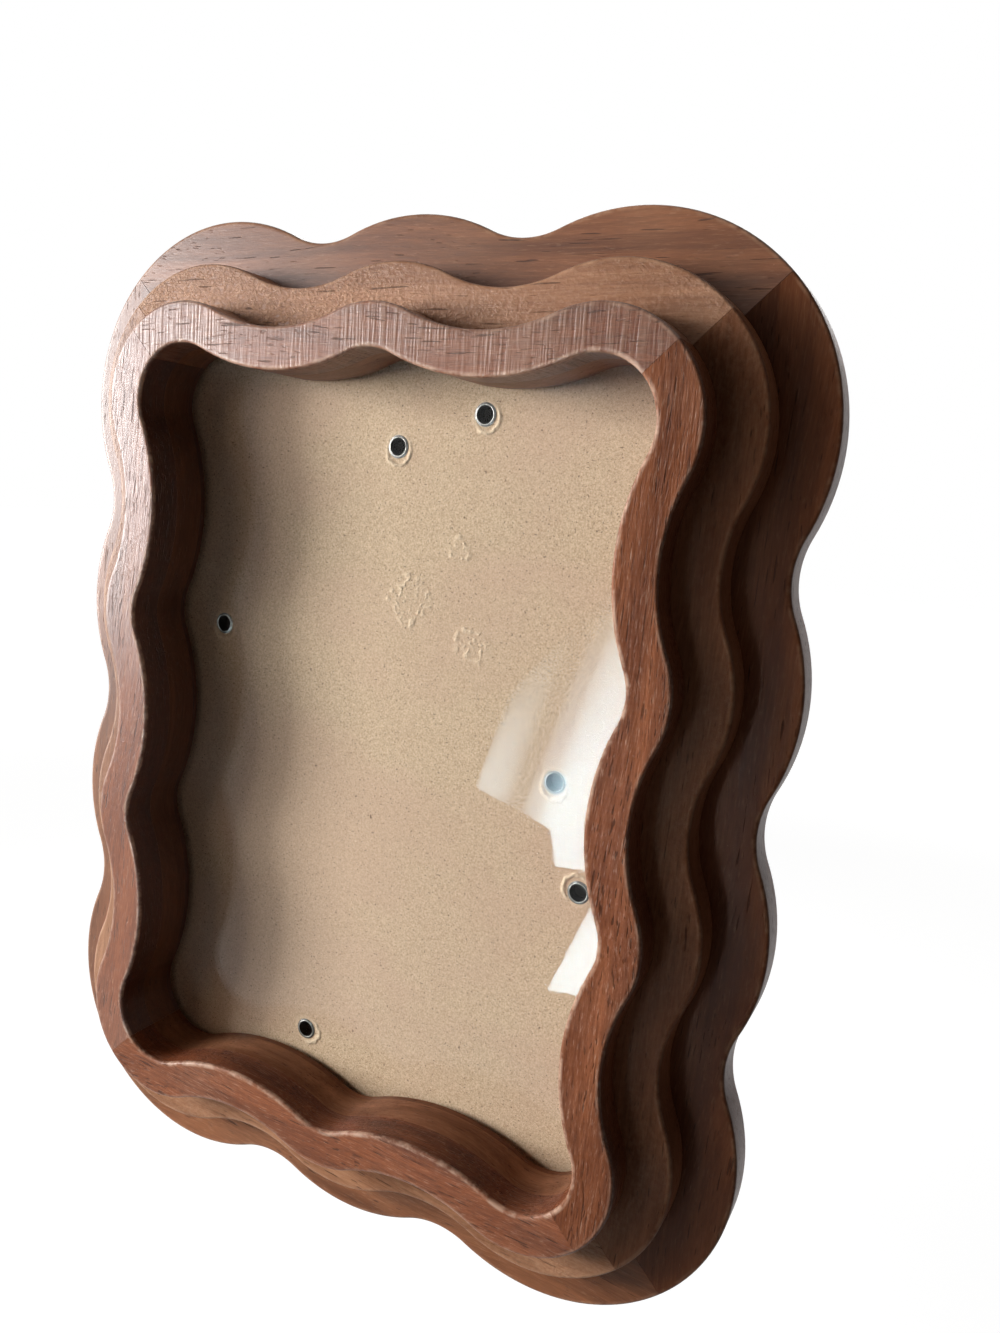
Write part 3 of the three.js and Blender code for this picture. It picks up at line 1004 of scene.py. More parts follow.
@dataclass(frozen=True)
class Tier:
    """One tier of wood: its outline's crest radius, its depths and its finish."""

    label: str
    outer: float
    back: float
    front: float
    finish: WoodFinish
    window: float = 12.2
    eased_window: bool = False
    arris: float = 0.6
    back_arris: float = 0.25
    # The rub marks along the arrises are also a painted highlight.
    rub_and_highlight_width: float = 0.45
    outer_rub_and_highlight: float = 0.45
    glue_line: float = 0.04
    mitre_ease: float = 0.05
    arris_steps: int = 4
    back_steps: int = 2
    least_rub_and_highlight: float = 0.1
    window_reach: float = 1.0
    cap_area: float = 10.0

    def section(self, bm: BMesh) -> BMFace:
        """Draws the section with its front edges rounded and marks where they get rub and a painted
        highlight.

        Args:
            bm: The mesh to draw it in.

        Returns:
            The section's face on the xz plane.
        """
        margin = self.arris + self.rub_and_highlight_width
        corners = [
            (self.window, self.back, 0.0),
            (self.outer, self.back, self.back_arris),
            (self.outer, self.front - margin, 0.0),
            (self.outer, self.front, self.arris),
            (self.outer - margin, self.front, 0.0),
        ]
        if self.eased_window:
            corners += [
                (self.window + margin, self.front, 0.0),
                (self.window, self.front, self.arris),
                (self.window, self.front - margin, 0.0),
            ]
        else:
            corners.append((self.window, self.front, 0.0))
        # Marks for rub and painted highlight along the arrises.
        rub_and_highlight = bm.verts.layers.float.new("rub_and_highlight")
        verts = [bm.verts.new((x, 0.0, z)) for x, z, _ in corners]
        bm.faces.new(verts)
        for vert, (_, _, rounding) in zip(verts, corners):
            vert[rub_and_highlight] = self.edge_rub_and_highlight(vert.co.x) if rounding == self.arris else 0.0
        for vert, (_, _, rounding) in zip(verts, corners):
            if rounding:
                steps = self.arris_steps if rounding == self.arris else self.back_steps
                ease(bm, [vert], rounding, steps, "VERTICES")
        for vert in bm.verts:
            vert[rub_and_highlight] = self.edge_rub_and_highlight(vert.co.x) if vert[rub_and_highlight] > self.least_rub_and_highlight else 0.0
        return bm.faces[:][0]

    def edge_rub_and_highlight(self, radius: float) -> float:
        """Says how much rub and painted highlight an edge gets: most at the window, little outside.
        """
        return 1.0 if radius < self.window + self.window_reach else self.outer_rub_and_highlight

    def rail(self, line: WavyLine, side: Side) -> BMesh:
        """Makes one rail, mitred, in its place on the lying frame.

        Args:
            line: The wavy line.
            side: The side that the rail is on.

        Returns:
            The rail.
        """
        bm = bmesh.new()
        line.trace(bm, self.section(bm), side.pitches)
        half = side.pitches * line.pitch / 2
        for end in (-1.0, 1.0):
            normal = Vector((end, -1.0, 0.0)).normalized()
            made = bmesh.ops.bisect_plane(
                bm,
                geom=bm.verts[:] + bm.edges[:] + bm.faces[:],
                dist=PLANE_REACH,
                plane_co=Vector((end * half, 0.0, 0.0)) - normal * self.glue_line / 2,
                plane_no=normal,
                clear_outer=True,
            )
            bmesh.ops.edgeloop_fill(bm, edges=parts_in(made["geom_cut"], BMEdge))
        close_up(bm)
        caps = {face for face in bm.faces if self._on_mitre(face)}
        soften(bm, self.mitre_ease, 1, lambda edge: any(f in caps for f in edge.link_faces))
        return moved(bm, line.place(side))

    def _on_mitre(self, face: BMFace) -> bool:
        """Tells whether a face is a sawn mitre: upright, half way between x and y, and wide."""
        diagonal = abs(abs(face.normal.x) - math.sqrt(0.5)) < 1e-3
        return diagonal and abs(face.normal.z) < 0.01 and face.calc_area() > self.cap_area


# The pane, the board and what is riveted on it


@dataclass(frozen=True)
class Rivet:
    """A semi-tubular rivet: a head behind the board and a rolled rim on its front."""

    label: str
    x: float
    y: float
    seat: float
    strap: bool
    torn_way: float = -90.0
    torn_depth: float = 0.22
    torn_reach: float = 5.1
    torn_gap: float = 0.35
    torn_spread: float = 1.3
    shank: float = 2.2
    wall: float = 0.3
    roll: float = 0.3
    rise: float = 0.3
    overhang: float = 0.5
    head: float = 0.4
    dome: float = 0.55
    floor: float = 0.3
    flange: float = 0.12
    undercut: float = 0.02
    step: float = 0.03
    taper: float = 0.02
    fine_round: float = 0.03
    flange_round: float = 0.05
    head_round: float = 0.06
    bead_round: float = 0.12
    margin: float = 0.01
    bore_shade: float = 0.1
    shank_mark: float = 0.55
    steps: int = 56

    @property
    def place(self) -> Matrix:
        """The rivet's place on the board."""
        return Matrix.Translation((self.x, self.y, 0.0))

    def body(self, board_front: float) -> BMesh:
        """Turns the rivet.

        Args:
            board_front: The depth of the board's front face.

        Returns:
            The rivet in its place.
        """
        bore = self.shank - self.wall
        rim = self.shank + self.roll
        head = self.shank + self.overhang
        top = board_front + self.rise
        corners = [
            (0.0, self.seat - self.head, 0.0),
            (head, self.seat - self.head, self.head * self.dome),
            (head, self.seat, self.head_round),
            (self.shank, self.seat, 0.0),
            (self.shank, board_front, 0.0),
            (rim, board_front + self.undercut, self.fine_round),
            (rim, board_front + self.flange, self.flange_round),
            (bore + self.roll, board_front + self.flange + self.step, self.fine_round),
            (bore + self.roll - self.taper, top, self.bead_round),
            (bore, top, self.bead_round),
            (bore, self.seat + self.floor, self.bead_round),
            (0.0, self.seat + self.floor, 0.0),
        ]
        bm = turned(corners, self.steps)
        # Marks the bore for painted shade, and the shank and flange for part of that darkening.
        inside = bm.verts.layers.float.new("bore")
        for vert in bm.verts:
            away = math.hypot(vert.co.x, vert.co.y)
            if self.seat + self.margin < vert.co.z < top - self.bore_shade:
                vert[inside] = 1.0 if away < bore + 2 * self.margin else self.shank_mark
        return moved(bm, self.place)

    def torn(self, point: Vector, grain: float, fine: float) -> tuple[float, float]:
        """Works out how far the board's face is raised and torn round the rivet.

        Args:
            point: The place on the board.
            grain: A pattern there, 0 to 1.
            fine: A finer pattern there.

        Returns:
            The height in millimetres, and how torn it is from 0 to 1.
        """
        dx, dy = point.x - self.x, point.y - self.y
        away = math.hypot(dx, dy)
        facing = max(0.0, math.cos(math.atan2(dy, dx) - math.radians(self.torn_way)))
        spread = self.torn_spread * facing * (0.3 + 0.9 * grain)
        reach = self.shank + self.roll + self.torn_gap + spread
        lip = swell(away - reach, 0.25 + 0.3 * fine)
        share = (0.25 + 0.75 * facing) * min(1.0, 0.3 + 1.4 * fine)
        share *= held(self.torn_reach - away)
        return self.torn_depth * lip * share, min(1.0, 1.6 * lip * share)


@dataclass(frozen=True)
class Blister:
    """A raised place in the board's face."""

    x: float
    y: float
    radius: float
    height: float
    edge_at: float = 0.8
    edge_width: float = 0.16

    def raised(self, point: Vector, grain: float, fine: float, drawn: float) -> tuple[float, float]:
        """Works out how far the face is raised and torn at a place.

        Args:
            point: The place.
            grain: A pattern there, 0 to 1.
            fine: A finer pattern there.
            drawn: A broader pattern there, which bends the outline.

        Returns:
            The height in millimetres, and how torn it is from 0 to 1.
        """
        away = math.hypot(point.x - self.x, point.y - self.y)
        inside = held(self.radius + 1.0 - away)
        away *= (0.6 + 0.8 * drawn) / self.radius
        dome = max(0.0, 1.0 - away**2)
        crumb = risen(fine, 0.58, 5) * min(1.0, 2 * dome)
        edge = swell(away - self.edge_at, self.edge_width) * risen(grain, 0.45, 4)
        lift = max(0.5 * dome, 0.8 * crumb, 0.8 * edge)
        return inside * self.height * lift, inside * max(0.9 * crumb, 0.8 * edge)


@dataclass(frozen=True)
class BackingBoard:
    """The bare fibreboard back, holed for the rivets and raised where it blistered."""

    rivets: tuple[Rivet, ...]
    width: float = PRINT_WIDTH
    height: float = PRINT_HEIGHT
    back: float = 2.2
    front: float = 4.2
    hole: float = SHANK_HOLE
    hole_steps: int = 40
    pitch: float = 2.0
    fine_cuts: int = 7
    fine_reach: float = 8.0
    fine_margin: float = 4.0
    patterns: tuple[float, ...] = (0.7, 1.25, 0.3)
    blisters: tuple[Blister, ...] = (
        Blister(14.3, 46.6, 3.0, 0.16),
        Blister(2.9, 34.3, 6.0, 0.15),
        Blister(19.4, 26.3, 4.4, 0.15),
    )

    def raised(self, point: Vector) -> tuple[float, float]:
        """Works out how far the face is raised and torn at a place.

        Args:
            point: The place.

        Returns:
            The height in millimetres, and how torn it is from 0 to 1.
        """
        grain, fine, drawn = (0.5 + 0.5 * noise.noise(point * scale) for scale in self.patterns)
        marks = [blister.raised(point, grain, fine, drawn) for blister in self.blisters]
        marks += [rivet.torn(point, grain, fine) for rivet in self.rivets]
        return max(0.0, *(lift for lift, _ in marks)), max(0.0, *(tear for _, tear in marks))

    def body(self) -> BMesh:
        """Makes the board: a fine face raised in places, given its thickness and its holes.

        Returns:
            The board.
        """
        bm = bmesh.new()
        counts = [round(size / self.pitch) for size in (self.width, self.height)]
        size = Matrix.Diagonal((self.width / 2, self.height / 2, 1.0, 1.0))
        place = Matrix.Translation((0.0, 0.0, self.front))
        bmesh.ops.create_grid(
            bm, x_segments=counts[0], y_segments=counts[1], size=1.0, matrix=place @ size
        )
        near = [edge for edge in bm.edges if self._is_fine(edge)]
        bmesh.ops.subdivide_edges(bm, edges=near, cuts=self.fine_cuts, use_grid_fill=True)
        torn = bm.verts.layers.float.new("torn")
        for vert in bm.verts:
            lift, tear = self.raised(vert.co)
            vert.co.z += lift
            vert[torn] = tear
        made = bmesh.ops.extrude_face_region(bm, geom=bm.faces[:])["geom"]
        for vert in parts_in(made, BMVert):
            vert.co.z = self.back
            vert[torn] = 0.0
        bmesh.ops.recalc_face_normals(bm, faces=bm.faces[:])
        ends = self.back - CUT_PAST, self.front + CUT_PAST
        holes = [moved(disc(self.hole, *ends, self.hole_steps), r.place) for r in self.rivets]
        return cut(bm, holes)

    def _is_fine(self, edge: BMEdge) -> bool:
        """Tells whether an edge lies where the face needs a finer mesh.

        Args:
            edge: The edge.

        Returns:
            Whether both its ends lie near the same blister or rivet.
        """
        spots = [(b.x, b.y, b.radius + self.fine_margin) for b in self.blisters]
        spots += [(r.x, r.y, self.fine_reach) for r in self.rivets]
        return any(
            all(math.hypot(v.co.x - x, v.co.y - y) < reach for v in edge.verts)
            for x, y, reach in spots
        )


@dataclass(frozen=True)
class GlassPane:
    """The flat pane with its edges seamed."""

    width: float = PRINT_WIDTH
    height: float = PRINT_HEIGHT
    back: float = 4.6
    front: float = 6.1
    seam: float = 0.18

    def body(self) -> BMesh:
        """Makes the pane.

        Returns:
            The pane.
        """
        bm = block(self.width, self.height, self.back, self.front)
        soften(bm, self.seam, 2)
        return bm


@dataclass(frozen=True)
class SwivelClip:
    """A sheet clip: a round eye on its rivet, narrowing to a round tip."""

    side: Side
    back: float = 1.4
    thickness: float = 0.7
    eye: float = 4.5
    tip: float = 2.8
    reach: float = 18.4
    hole: float = SHANK_HOLE
    ease: float = 0.14
    steps: int = 64
    hole_steps: int = 48

    def body(self, rivet: Rivet) -> BMesh:
        """Makes the clip, turned in along its edge of the board.

        Args:
            rivet: The rivet that it turns on.

        Returns:
            The clip in its place.
        """
        bm = bmesh.new()
        middle = self.back + self.thickness / 2
        for radius, x in ((self.eye, 0.0), (self.tip, self.reach - self.tip)):
            add_disc(bm, radius, self.thickness, (x, 0.0, middle), self.steps)
        hull = bmesh.ops.convex_hull(bm, input=bm.verts[:])
        inner = parts_in(hull["geom_interior"], BMVert)
        bmesh.ops.delete(bm, geom=inner, context="VERTS")
        spare = [f for f in parts_in(hull["geom_unused"], BMFace) if f.is_valid]
        bmesh.ops.delete(bm, geom=spare, context="FACES_ONLY")
        flat = math.radians(1)
        bmesh.ops.dissolve_limit(bm, angle_limit=flat, verts=bm.verts[:], edges=bm.edges[:])
        bmesh.ops.recalc_face_normals(bm, faces=bm.faces[:])
        ends = self.back - CUT_PAST, self.back + self.thickness + CUT_PAST
        bm = cut(bm, [disc(self.hole, *ends, self.hole_steps)])
        soften(bm, self.ease, 2)
        return moved(bm, rivet.place @ Matrix.Rotation(self.side.turn, 4, "Z"))


@dataclass(frozen=True)
class StrapHanger:
    """A strap curled round the straight side of a bent wire ring."""

    side: Side
    front: float = 2.1
    thickness: float = 0.5
    width: float = 7.0
    reach: float = 6.5
    curl: float = math.radians(260)
    end_steps: int = 32
    curl_steps: int = 40
    strap_ease: float = 0.1
    hole: float = SHANK_HOLE
    hole_steps: int = 48
    hole_past: float = 0.4
    wire: float = 0.7
    wire_clearance: float = 0.1
    wire_ease: float = 0.08
    wire_sides: int = 20
    crown_past_pivot: float = 12.0
    crown: float = 3.5
    crown_steps: int = 36
    bend: float = 1.3
    bend_steps: int = 20
    side_gap: float = 0.4
    end_gap: float = 0.4

    @property
    def loop(self) -> float:
        """The strap's outer radius round the wire."""
        return self.wire + self.wire_clearance + self.thickness

    def place(self, rivet: Rivet) -> Matrix:
        """Gives the hanger's place on its rivet."""
        return rivet.place @ Matrix.Rotation(self.side.turn, 4, "Z")

    def strap(self, rivet: Rivet) -> BMesh:
        """Makes the strap: a round-ended sheet, curled at its end and given its thickness.

        Args:
            rivet: The rivet that holds it.

        Returns:
            The strap in its place.
        """
        bm = bmesh.new()
        start = bm.verts.new((-self.width / 2, 0.0, self.front))
        half_turn = {"axis": UP, "angle": math.pi, "steps": self.end_steps}
        bmesh.ops.spin(bm, geom=[start], cent=ORIGIN, **half_turn)
        ends = sorted((v for v in bm.verts if len(v.link_edges) == 1), key=lambda v: v.co.x)
        far = [bm.verts.new((v.co.x, self.reach, self.front)) for v in ends]
        for near_end, far_end in zip(ends, far):
            bm.edges.new((near_end, far_end))
        lip = bm.edges.new(far)
        bmesh.ops.edgeloop_fill(bm, edges=bm.edges[:])
        if bm.faces[:][0].normal.z < 0:
            bmesh.ops.reverse_faces(bm, faces=bm.faces[:])
        bmesh.ops.spin(
            bm,
            geom=lip.verts[:] + [lip],
            cent=Vector((0.0, self.reach, self.front - self.loop)),
            axis=Vector((-1.0, 0.0, 0.0)),
            angle=self.curl,
            steps=self.curl_steps,
        )
        bmesh.ops.recalc_face_normals(bm, faces=bm.faces[:])
        flat = max(bm.faces, key=BMFace.calc_area)
        if flat.normal.z < 0:
            bmesh.ops.reverse_faces(bm, faces=bm.faces[:])
        bmesh.ops.solidify(bm, geom=bm.faces[:], thickness=self.thickness)
        close_up(bm)
        low = self.front - self.thickness - self.hole_past
        bm = cut(bm, [disc(self.hole, low, self.front + CUT_PAST, self.hole_steps)])
        soften(bm, self.strap_ease, 2)
        return moved(bm, self.place(rivet))

    def ring(self, rivet: Rivet) -> BMesh:
        """Bends the ring out of round wire.

        Args:
            rivet: The rivet of its strap.

        Returns:
            The ring in its place.
        """
        bm = bmesh.new()
        start = Vector((self.end_gap / 2, 0.0, 0.0))
        turn = Matrix.Rotation(math.radians(90), 4, "Y")
        bmesh.ops.create_circle(
            bm,
            cap_ends=True,
            segments=self.wire_sides,
            radius=self.wire,
            matrix=Matrix.Translation(start) @ turn,
        )
        straight = self.width / 2 + self.side_gap
        bend = Vector((straight, self.bend, 0.0))
        crown = Vector((0.0, self.crown_past_pivot - self.crown, 0.0))
        apart = crown - bend
        lean = math.atan2(apart.y, apart.x) - math.acos((self.bend - self.crown) / apart.length)
        run = math.sqrt(apart.length**2 - (self.crown - self.bend) ** 2)
        leg = Vector((-math.sin(lean), math.cos(lean), 0.0)) * run
        base = Vector((straight - start.x, 0.0, 0.0))
        sweep = Sweep(bm, bm.faces[:][0])
        sweep.run(base)
        sweep.arc(bend, math.pi / 2 + lean, self.bend_steps)
        sweep.run(leg)
        sweep.arc(crown, math.pi - 2 * lean, self.crown_steps)
        sweep.run(Vector((leg.x, -leg.y, 0.0)))
        sweep.arc(Vector((-bend.x, bend.y, 0.0)), math.pi / 2 + lean, self.bend_steps)
        sweep.run(base)
        close_up(bm)
        soften(bm, self.wire_ease, 1)
        lift = Matrix.Translation((0.0, self.reach, self.front - self.loop))
        return moved(bm, self.place(rivet) @ lift)


# The whole frame


@dataclass(frozen=True)
class CornerAngles:
    """The thin angles driven into the back across each mitre."""

    leg: float = 5.0
    thickness: float = 0.5
    height: float = 5.5
    inset: float = 8.5
    sink: float = 0.4
    clearance: float = 0.15
    base_edge: float = BASE_EDGE

    def saw_cut(self, x: float, y: float, turn: float) -> BMesh:
        """Makes the saw cut for one angle, open at the back.

        Args:
            x: The corner lobe's place.
            y: The corner lobe's place.
            turn: The corner's turn from the top right one, in degrees.

        Returns:
            The body to take away.
        """
        heel = (self.base_edge - self.inset) * math.sqrt(0.5)
        outer = self.clearance
        end = -self.leg - self.clearance
        inner = -self.thickness - self.clearance
        outline = (
            (outer, outer), (end, outer), (end, inner), (inner, inner), (inner, end), (outer, end)
        )
        bm = bmesh.new()
        section = bm.faces.new([bm.verts.new((u, v, -CUT_PAST)) for u, v in outline])
        top = self.sink + self.height + self.clearance
        Sweep(bm, section).run(Vector((0.0, 0.0, top + CUT_PAST)))
        close_up(bm)
        place = Matrix.Translation((x, y, 0.0)) @ Matrix.Rotation(math.radians(turn), 4, "Z")
        return moved(bm, place @ Matrix.Translation((heel, heel, 0.0)))


@dataclass(frozen=True)
class PictureFrame:
    """The whole frame: three tiers, the pane, the board and its fittings."""

    line: WavyLine = WavyLine()
    pane: GlassPane = GlassPane()
    angles: CornerAngles = CornerAngles()
    rabbet_clearance: float = 1.0
    rabbet_depth: float = 6.2
    slot_back: float = 1.2
    slot_front: float = 2.3
    slot_radius: float = 18.9
    slot_steps: int = 160
    rivets: tuple[Rivet, ...] = (
        Rivet("top", 17.6, 74.6, 1.3, False, -50.0),
        Rivet("right", 49.1, -21.8, 1.3, False, 135.0),
        Rivet("bottom", -17.6, -74.6, 1.3, False, -20.0, 0.16),
        Rivet("left", -49.1, 21.8, 1.3, False, -90.0, 0.1),
        Rivet("top", -3.0, 66.8, 1.5, True, -85.0, 0.28),
        Rivet("side", 41.3, 0.5, 1.5, True, -90.0, 0.12),
    )

    def tiers(self) -> tuple[Tier, ...]:
        """Lists the tiers from the back to the front.

        Returns:
            The tiers with their finishes.
        """
        base = WoodFinish(
            "base_wood", 9.0, tone(144, 92, 60), tone(100, 59, 35), tone(44, 22, 13),
            tone(206, 166, 134), roughness=0.35, specular=0.4, pores=0.15,
        )
        middle = WoodFinish(
            "middle_wood_tan", 15.0, tone(174, 125, 92), tone(134, 88, 59), tone(58, 32, 20),
            tone(206, 166, 134), roughness=0.41, specular=0.32, pores=0.2, pits=0.8,
        )
        front = WoodFinish(
            "front_wood_brown", 16.0, tone(146, 85, 52), tone(106, 57, 33), tone(46, 22, 13),
            tone(214, 180, 156), roughness=0.34, specular=0.45, pores=0.8, fibres=1.0,
            # The front tier's right-hand board is painted lighter, as painted light.
            chatter=1.0, ridges=0.16, right_painted_light_and_shade=(1.05, 1.1, 1.13),
            # Painted shade towards the top board's right end.
            corner_painted_shade=(0.72, 0.66, 0.62),
        )
        return (
            Tier("base", BASE_EDGE, 0.0, 7.6, base),
            Tier("middle", 30.2, 7.62, 15.3, middle),
            Tier(
                "front", 21.0, 15.32, 23.0, front, eased_window=True, glue_line=0.02,
                mitre_ease=0.03,
            ),
        )

    def base_cutters(self, side: Side) -> list[BMesh]:
        """Makes what is cut out of a base rail: the rabbet, a clip's slot and two saw cuts.

        Args:
            side: The rail's side.

        Returns:
            The bodies to take away.
        """
        around = 2 * self.rabbet_clearance
        width, height = self.pane.width + around, self.pane.height + around
        rabbet = block(width, height, -CUT_PAST, self.rabbet_depth)
        clip = next(r for r in self.rivets if r.label == side.label and not r.strap)
        slot = disc(self.slot_radius, self.slot_back, self.slot_front, self.slot_steps)
        x, y = self.line.distance(Side.RIGHT), self.line.distance(Side.TOP)
        corners = (
            (x, y, 0.0, Side.TOP, Side.RIGHT),
            (-x, y, 90.0, Side.TOP, Side.LEFT),
            (-x, -y, 180.0, Side.BOTTOM, Side.LEFT),
            (x, -y, -90.0, Side.BOTTOM, Side.RIGHT),
        )
        cuts = [self.angles.saw_cut(*place) for *place, one, two in corners if side in (one, two)]
        return [rabbet, moved(slot, clip.place), *cuts]

    def build_wood(self) -> None:
        """Makes the twelve rails."""
        for tier in self.tiers():
            label = tier.label
            for side in Side:
                rail = tier.rail(self.line, side)
                if label == "base":
                    rail = cut(rail, self.base_cutters(side))
                name, node = f"{label}_tier_{side.label}", f"{label}_rail_{side.label}"
                finished(name, rail, tier.finish.make(side), "frame", node)

    def build_back(self, nickel: Material, zinc: Material) -> None:
        """Makes the pane, the board and all that is riveted on it.

        Args:
            nickel: The finish of the rivets and the rings.
            zinc: The finish of the clips and the straps.
        """
        glass, bare = GlassFinish().make(), BoardFinish().make()
        finished("pane_of_glass", self.pane.body(), glass, "pane", "glass_pane")
        board = BackingBoard(self.rivets)
        finished("bare_board", board.body(), bare, "back", "backing_board")
        for rivet in self.rivets:
            kind = "hanger" if rivet.strap else "clip"
            label, shape = rivet.label, rivet.body(board.front)
            name, node = f"rolled_{kind}_rivet_{label}", f"{kind}_rivet_{label}"
            finished(name, shape, nickel, "back", node)
            if rivet.strap:
                hanger = StrapHanger(Side.TOP if label == "top" else Side.RIGHT)
                name, node = f"curled_strap_{label}", f"hanger_strap_{label}"
                finished(name, hanger.strap(rivet), zinc, "back", node)
                name, node = f"wire_ring_{label}", f"hanger_ring_{label}"
                finished(name, hanger.ring(rivet), nickel, f"ring_{label}", node)
            else:
                clip = SwivelClip(Side[label.upper()])
                name, node = f"turning_clip_{label}", f"swivel_clip_{label}"
                finished(name, clip.body(rivet), zinc, f"clip_{label}", node)

    def build(self) -> None:
        """Makes every piece and gives the corner angles their finish."""
        nickel = MetalFinish("nickel_plate", tone(146, 144, 140), tone(104, 100, 94), 0.38).make()
        zinc = MetalFinish("zinc_plate", tone(176, 178, 180), tone(150, 152, 154), 0.4).make()
        self.build_wood()
        self.build_back(nickel, zinc)
        for corner in ("top_right", "top_left", "bottom_left", "bottom_right"):
            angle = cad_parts[f"corner_angle_{corner}"]
            angle.data.materials.clear()
            angle.data.materials.append(zinc)
            log.info("corner_angle_%s: dressed", corner)


# The studio


@dataclass(frozen=True)
class Viewpoint:
    """The camera, where the photograph was taken from, for a picture of 1000 x 1333."""

    stand: Shade = (0.1202, -0.1864, 0.0590)
    azimuth: float = math.radians(25.97)
    elevation: float = math.radians(9.56)
    roll: float = math.radians(5.2)
    focal_pixels: float = 1028.4
    width: int = 1000
    height: int = 1333
    sensor: float = 36.0
    nearest: float = 0.01

    @property
    def rotation(self) -> Quaternion:
        """The camera's turn.

        Returns:
            Its turn from a camera that looks straight down.
        """
        level = math.cos(self.elevation)
        ahead = Vector((
            -math.sin(self.azimuth) * level,
            math.cos(self.azimuth) * level,
            -math.sin(self.elevation),
        ))
        return ahead.to_track_quat("-Z", "Y") @ Quaternion(UP, self.roll)

    def mirrored(self, x: float, y: float, plane: float, distance: float) -> Vector:
        """Finds what the pane shows at a point of the picture.

        Args:
            x: The point in the picture.
            y: The point in the picture.
            plane: Where the pane's face is, along y.
            distance: How far from the pane to go.

        Returns:
            The place that the pane mirrors there.
        """
        across = (x - self.width / 2) / self.focal_pixels
        down = (y - self.height / 2) / self.focal_pixels
        ray = (self.rotation @ Vector((across, -down, -1.0))).normalized()
        camera = Vector(self.stand)
        on_pane = camera + ray * ((plane - camera.y) / ray.y)
        return on_pane + Vector((ray.x, -ray.y, ray.z)) * distance

    def place(self) -> None:
        """Makes the scene's camera."""
        data = bpy.data.cameras.new("camera")
        data.sensor_fit = "AUTO"
        data.sensor_width = self.sensor
        data.lens = self.focal_pixels * self.sensor / self.height
        data.clip_start = self.nearest
        camera = linked("camera", data)
        camera.location = self.stand
        camera.rotation_mode = "QUATERNION"
        camera.rotation_quaternion = self.rotation
        bpy.context.scene.camera = camera


@dataclass(frozen=True)
class SoftLamp:
    """A rectangular studio lamp that faces the frame."""

    name: str
    azimuth: float
    elevation: float
    distance: float
    width: float
    height: float
    radiance: float
    colour: Shade = (1.0, 1.0, 1.0)
    mirrored: bool = True

    def place(self) -> None:
        """Makes the lamp. Azimuth 0 is in front of the frame and 90 is to its right."""
        around, up = math.radians(self.azimuth), math.radians(self.elevation)
        level = math.cos(up)
        out = Vector((math.sin(around) * level, -math.cos(around) * level, math.sin(up)))
        data = bpy.data.lights.new(self.name, "AREA")
        data.shape = "RECTANGLE"
        data.size, data.size_y = self.width, self.height
        data.energy = self.radiance * math.pi * self.width * self.height
        data.color = self.colour
        lamp = linked(self.name, data)
        lamp.location = out * self.distance
        lamp.rotation_mode = "QUATERNION"
        lamp.rotation_quaternion = out.to_track_quat("Z", "Y")
        lamp.visible_glossy = lamp.visible_transmission = self.mirrored
        lamp.visible_camera = False


@dataclass(frozen=True)
class WindowCard:
    """A bright card that only shows as a reflection in the pane."""

    name: str
    corners: tuple[tuple[float, float], ...]
    folds: tuple[tuple[float, float], ...]
    fade: float = 0.06
    slant: float = 0.2
    fade_slant: float = 0.0
    distance: float = 0.75
    colour: Colour = (0.66, 0.88, 1.0, 1.0)

    def place(self, view: Viewpoint, plane: float) -> None:
        """Makes the card where the pane mirrors it at its corners in the picture.

        Args:
            view: The camera.
            plane: Where the pane's face is, along y.
        """
        bm = bmesh.new()
        verts = [bm.verts.new(view.mirrored(x, y, plane, self.distance)) for x, y in self.corners]
        bm.faces.new(verts)
        made = solid(self.name, bm)
        places = [vert.co for vert in made.data.vertices]
        card = NodeFinish(self.name)
        here = card.node("ShaderNodeSeparateXYZ", {0: card.metres()}).outputs
        lean = card.times(here[2], self.slant)
        across = card.math("SUBTRACT", here[0], lean)
        left, right = (pick(co.x - self.slant * co.z for co in places) for pick in (min, max))
        power: Value = self.folds[0][1]
        for (start, before), (end, after) in pairwise(self.folds):
            edges = [left + share * (right - left) for share in (start, end)]
            step = card.band(across, *edges, 0.0, after - before)
            power = card.math("ADD", step, power)
        down = card.math("ADD", here[2], card.times(here[0], self.fade_slant))
        low, high = (pick(co.z + self.fade_slant * co.x for co in places) for pick in (min, max))
        fade = card.band(down, high, high - self.fade * (high - low))
        power = card.math("ADD", card.times(power, fade), 1.0)
        feeds = {"Color": self.colour, "Strength": power}
        made.data.materials.append(card.show(card.node("ShaderNodeEmission", feeds)))
        made.visible_camera = made.visible_diffuse = made.visible_shadow = False


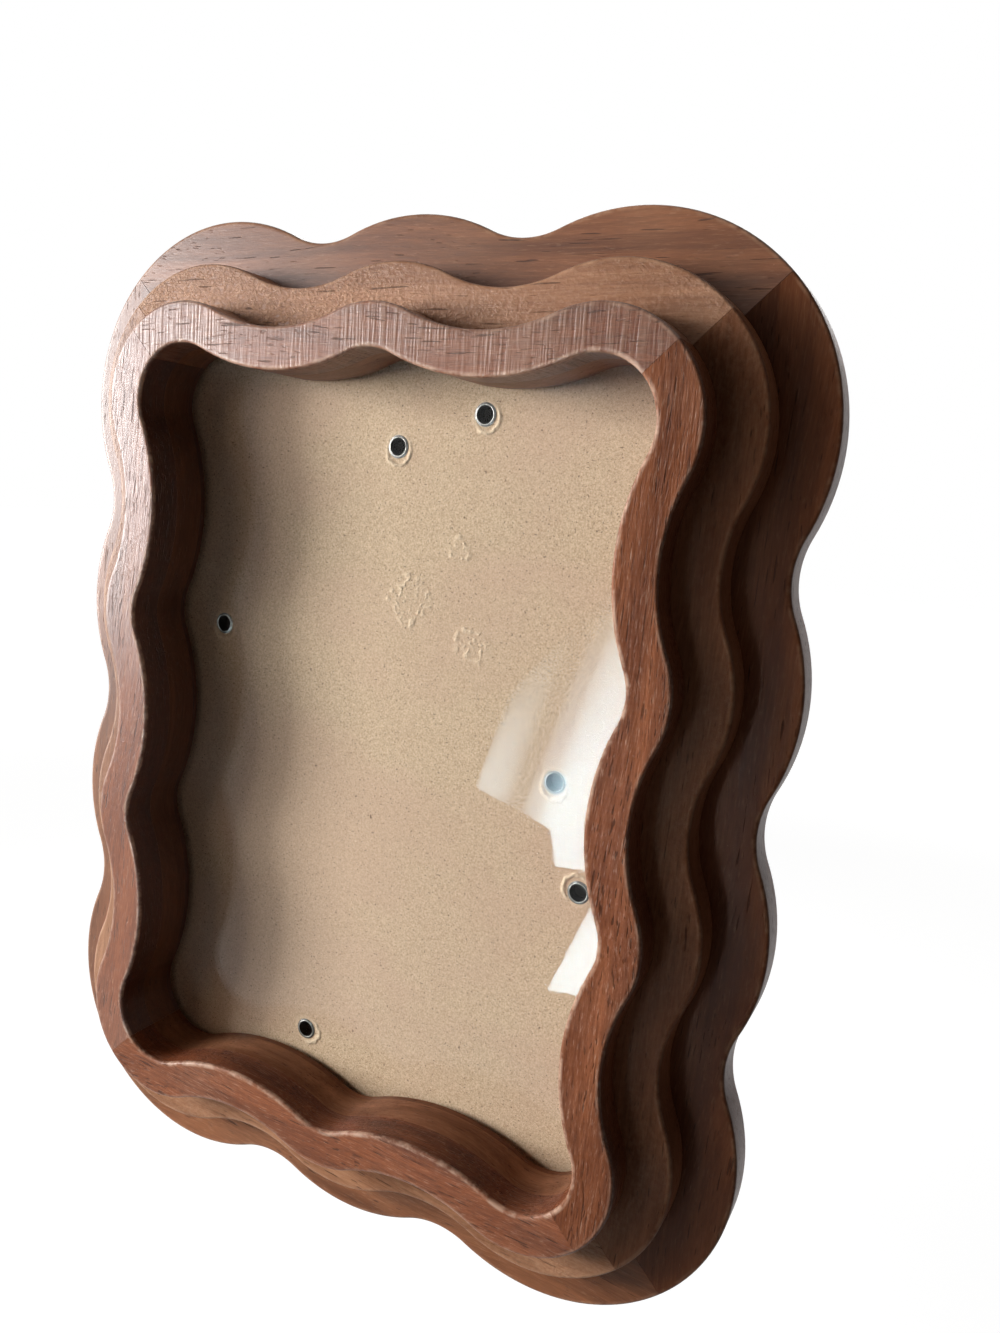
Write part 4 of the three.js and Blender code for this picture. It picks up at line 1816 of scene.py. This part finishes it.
@dataclass(frozen=True)
class Studio:
    """A pale floor, soft lamps and a white surround."""

    view: Viewpoint = Viewpoint()
    floor_drop: float = 0.42
    floor_size: float = 9.0
    floor_near: float = 0.9
    floor_far: float = 2.2
    floor_glow: float = 0.86
    floor_paper: Colour = (0.22, 0.22, 0.22, 1.0)
    fill: float = 0.036
    fill_tone: Shade = (1.0, 0.84, 0.7)
    lamps: tuple[SoftLamp, ...] = (
        SoftLamp("window_lamp", -64.0, 5.0, 1.1, 0.26, 0.46, 50.0, (0.97, 0.985, 1.0)),
        SoftLamp("sheen_lamp", -51.0, 10.0, 1.1, 0.24, 0.4, 14.0, (0.96, 0.98, 1.0)),
        SoftLamp("room_lamp", -35.0, 12.0, 1.1, 0.45, 0.45, 2.3, (1.0, 0.8, 0.62), False),
        SoftLamp("back_lamp", -162.0, 25.0, 1.3, 0.9, 0.9, 3.5),
    )
    cards: tuple[WindowCard, ...] = (
        WindowCard(
            "curtain_card",
            (
                (508, 694), (476, 787), (550, 829), (555, 866), (592, 872), (650, 780),
                (650, 560), (618, 582),
            ),
            (
                (0.0, 6.0), (0.05, 34.0), (0.14, 27.0), (0.26, 4.0), (0.33, 3.0),
                (0.39, 15.0), (0.44, 17.0), (0.51, 44.0), (0.58, 54.0), (0.7, 46.0),
            ),
            fade=0.6,
            fade_slant=-1.25,
        ),
        WindowCard(
            "gap_card",
            ((592, 905), (547, 990), (604, 1000), (640, 930)),
            ((0.0, 46.0), (1.0, 54.0)),
        ),
    )

    def place(self) -> None:
        """Makes the camera, the lamps, the cards, the floor and the surround."""
        bpy.context.scene.view_settings.view_transform = "Standard"
        self.view.place()
        for lamp in self.lamps:
            lamp.place()
        pane_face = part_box("glass_pane")[0].y
        for card in self.cards:
            card.place(self.view, pane_face)
        self._surround()
        self._floor()

    def _surround(self) -> None:
        """Makes the world white where it is seen and a soft fill light elsewhere."""
        bpy.context.scene.world = bpy.data.worlds.new("surround")
        world = NodeWork(bpy.context.scene.world)
        fill = (*(self.fill * part for part in self.fill_tone), 1.0)
        feeds = {"Color": world.mix(world.seen(), fill, WHITE), "Strength": 1.0}
        background = world.node("ShaderNodeBackground", feeds).outputs[0]
        world.node("ShaderNodeOutputWorld", {"Surface": background})

    def _floor(self) -> None:
        """Makes the plain pale floor, which keeps the frame's shadow."""
        bm = bmesh.new()
        place = Matrix.Translation((0.0, 0.0, cad_box[0].z - self.floor_drop))
        bmesh.ops.create_grid(bm, x_segments=1, y_segments=1, size=self.floor_size, matrix=place)
        floor = solid("floor", bm)
        pale = NodeFinish("floor_paper")
        feeds = {0: pale.metres()}
        away = pale.node("ShaderNodeVectorMath", feeds, operation="LENGTH").outputs["Value"]
        paper = pale.band(away, self.floor_near, self.floor_far, self.floor_glow, 1.0)
        matt = pale.node("ShaderNodeBsdfDiffuse", {"Color": self.floor_paper})
        glow = pale.node("ShaderNodeEmission", {"Strength": pale.times(pale.seen(), paper)})
        feeds = {0: matt.outputs[0], 1: glow.outputs[0]}
        floor.data.materials.append(pale.show(pale.node("ShaderNodeAddShader", feeds)))


def main() -> None:
    """Builds the frame and its studio."""
    PictureFrame().build()
    Studio().place()


if __name__ == "__main__":
    main()
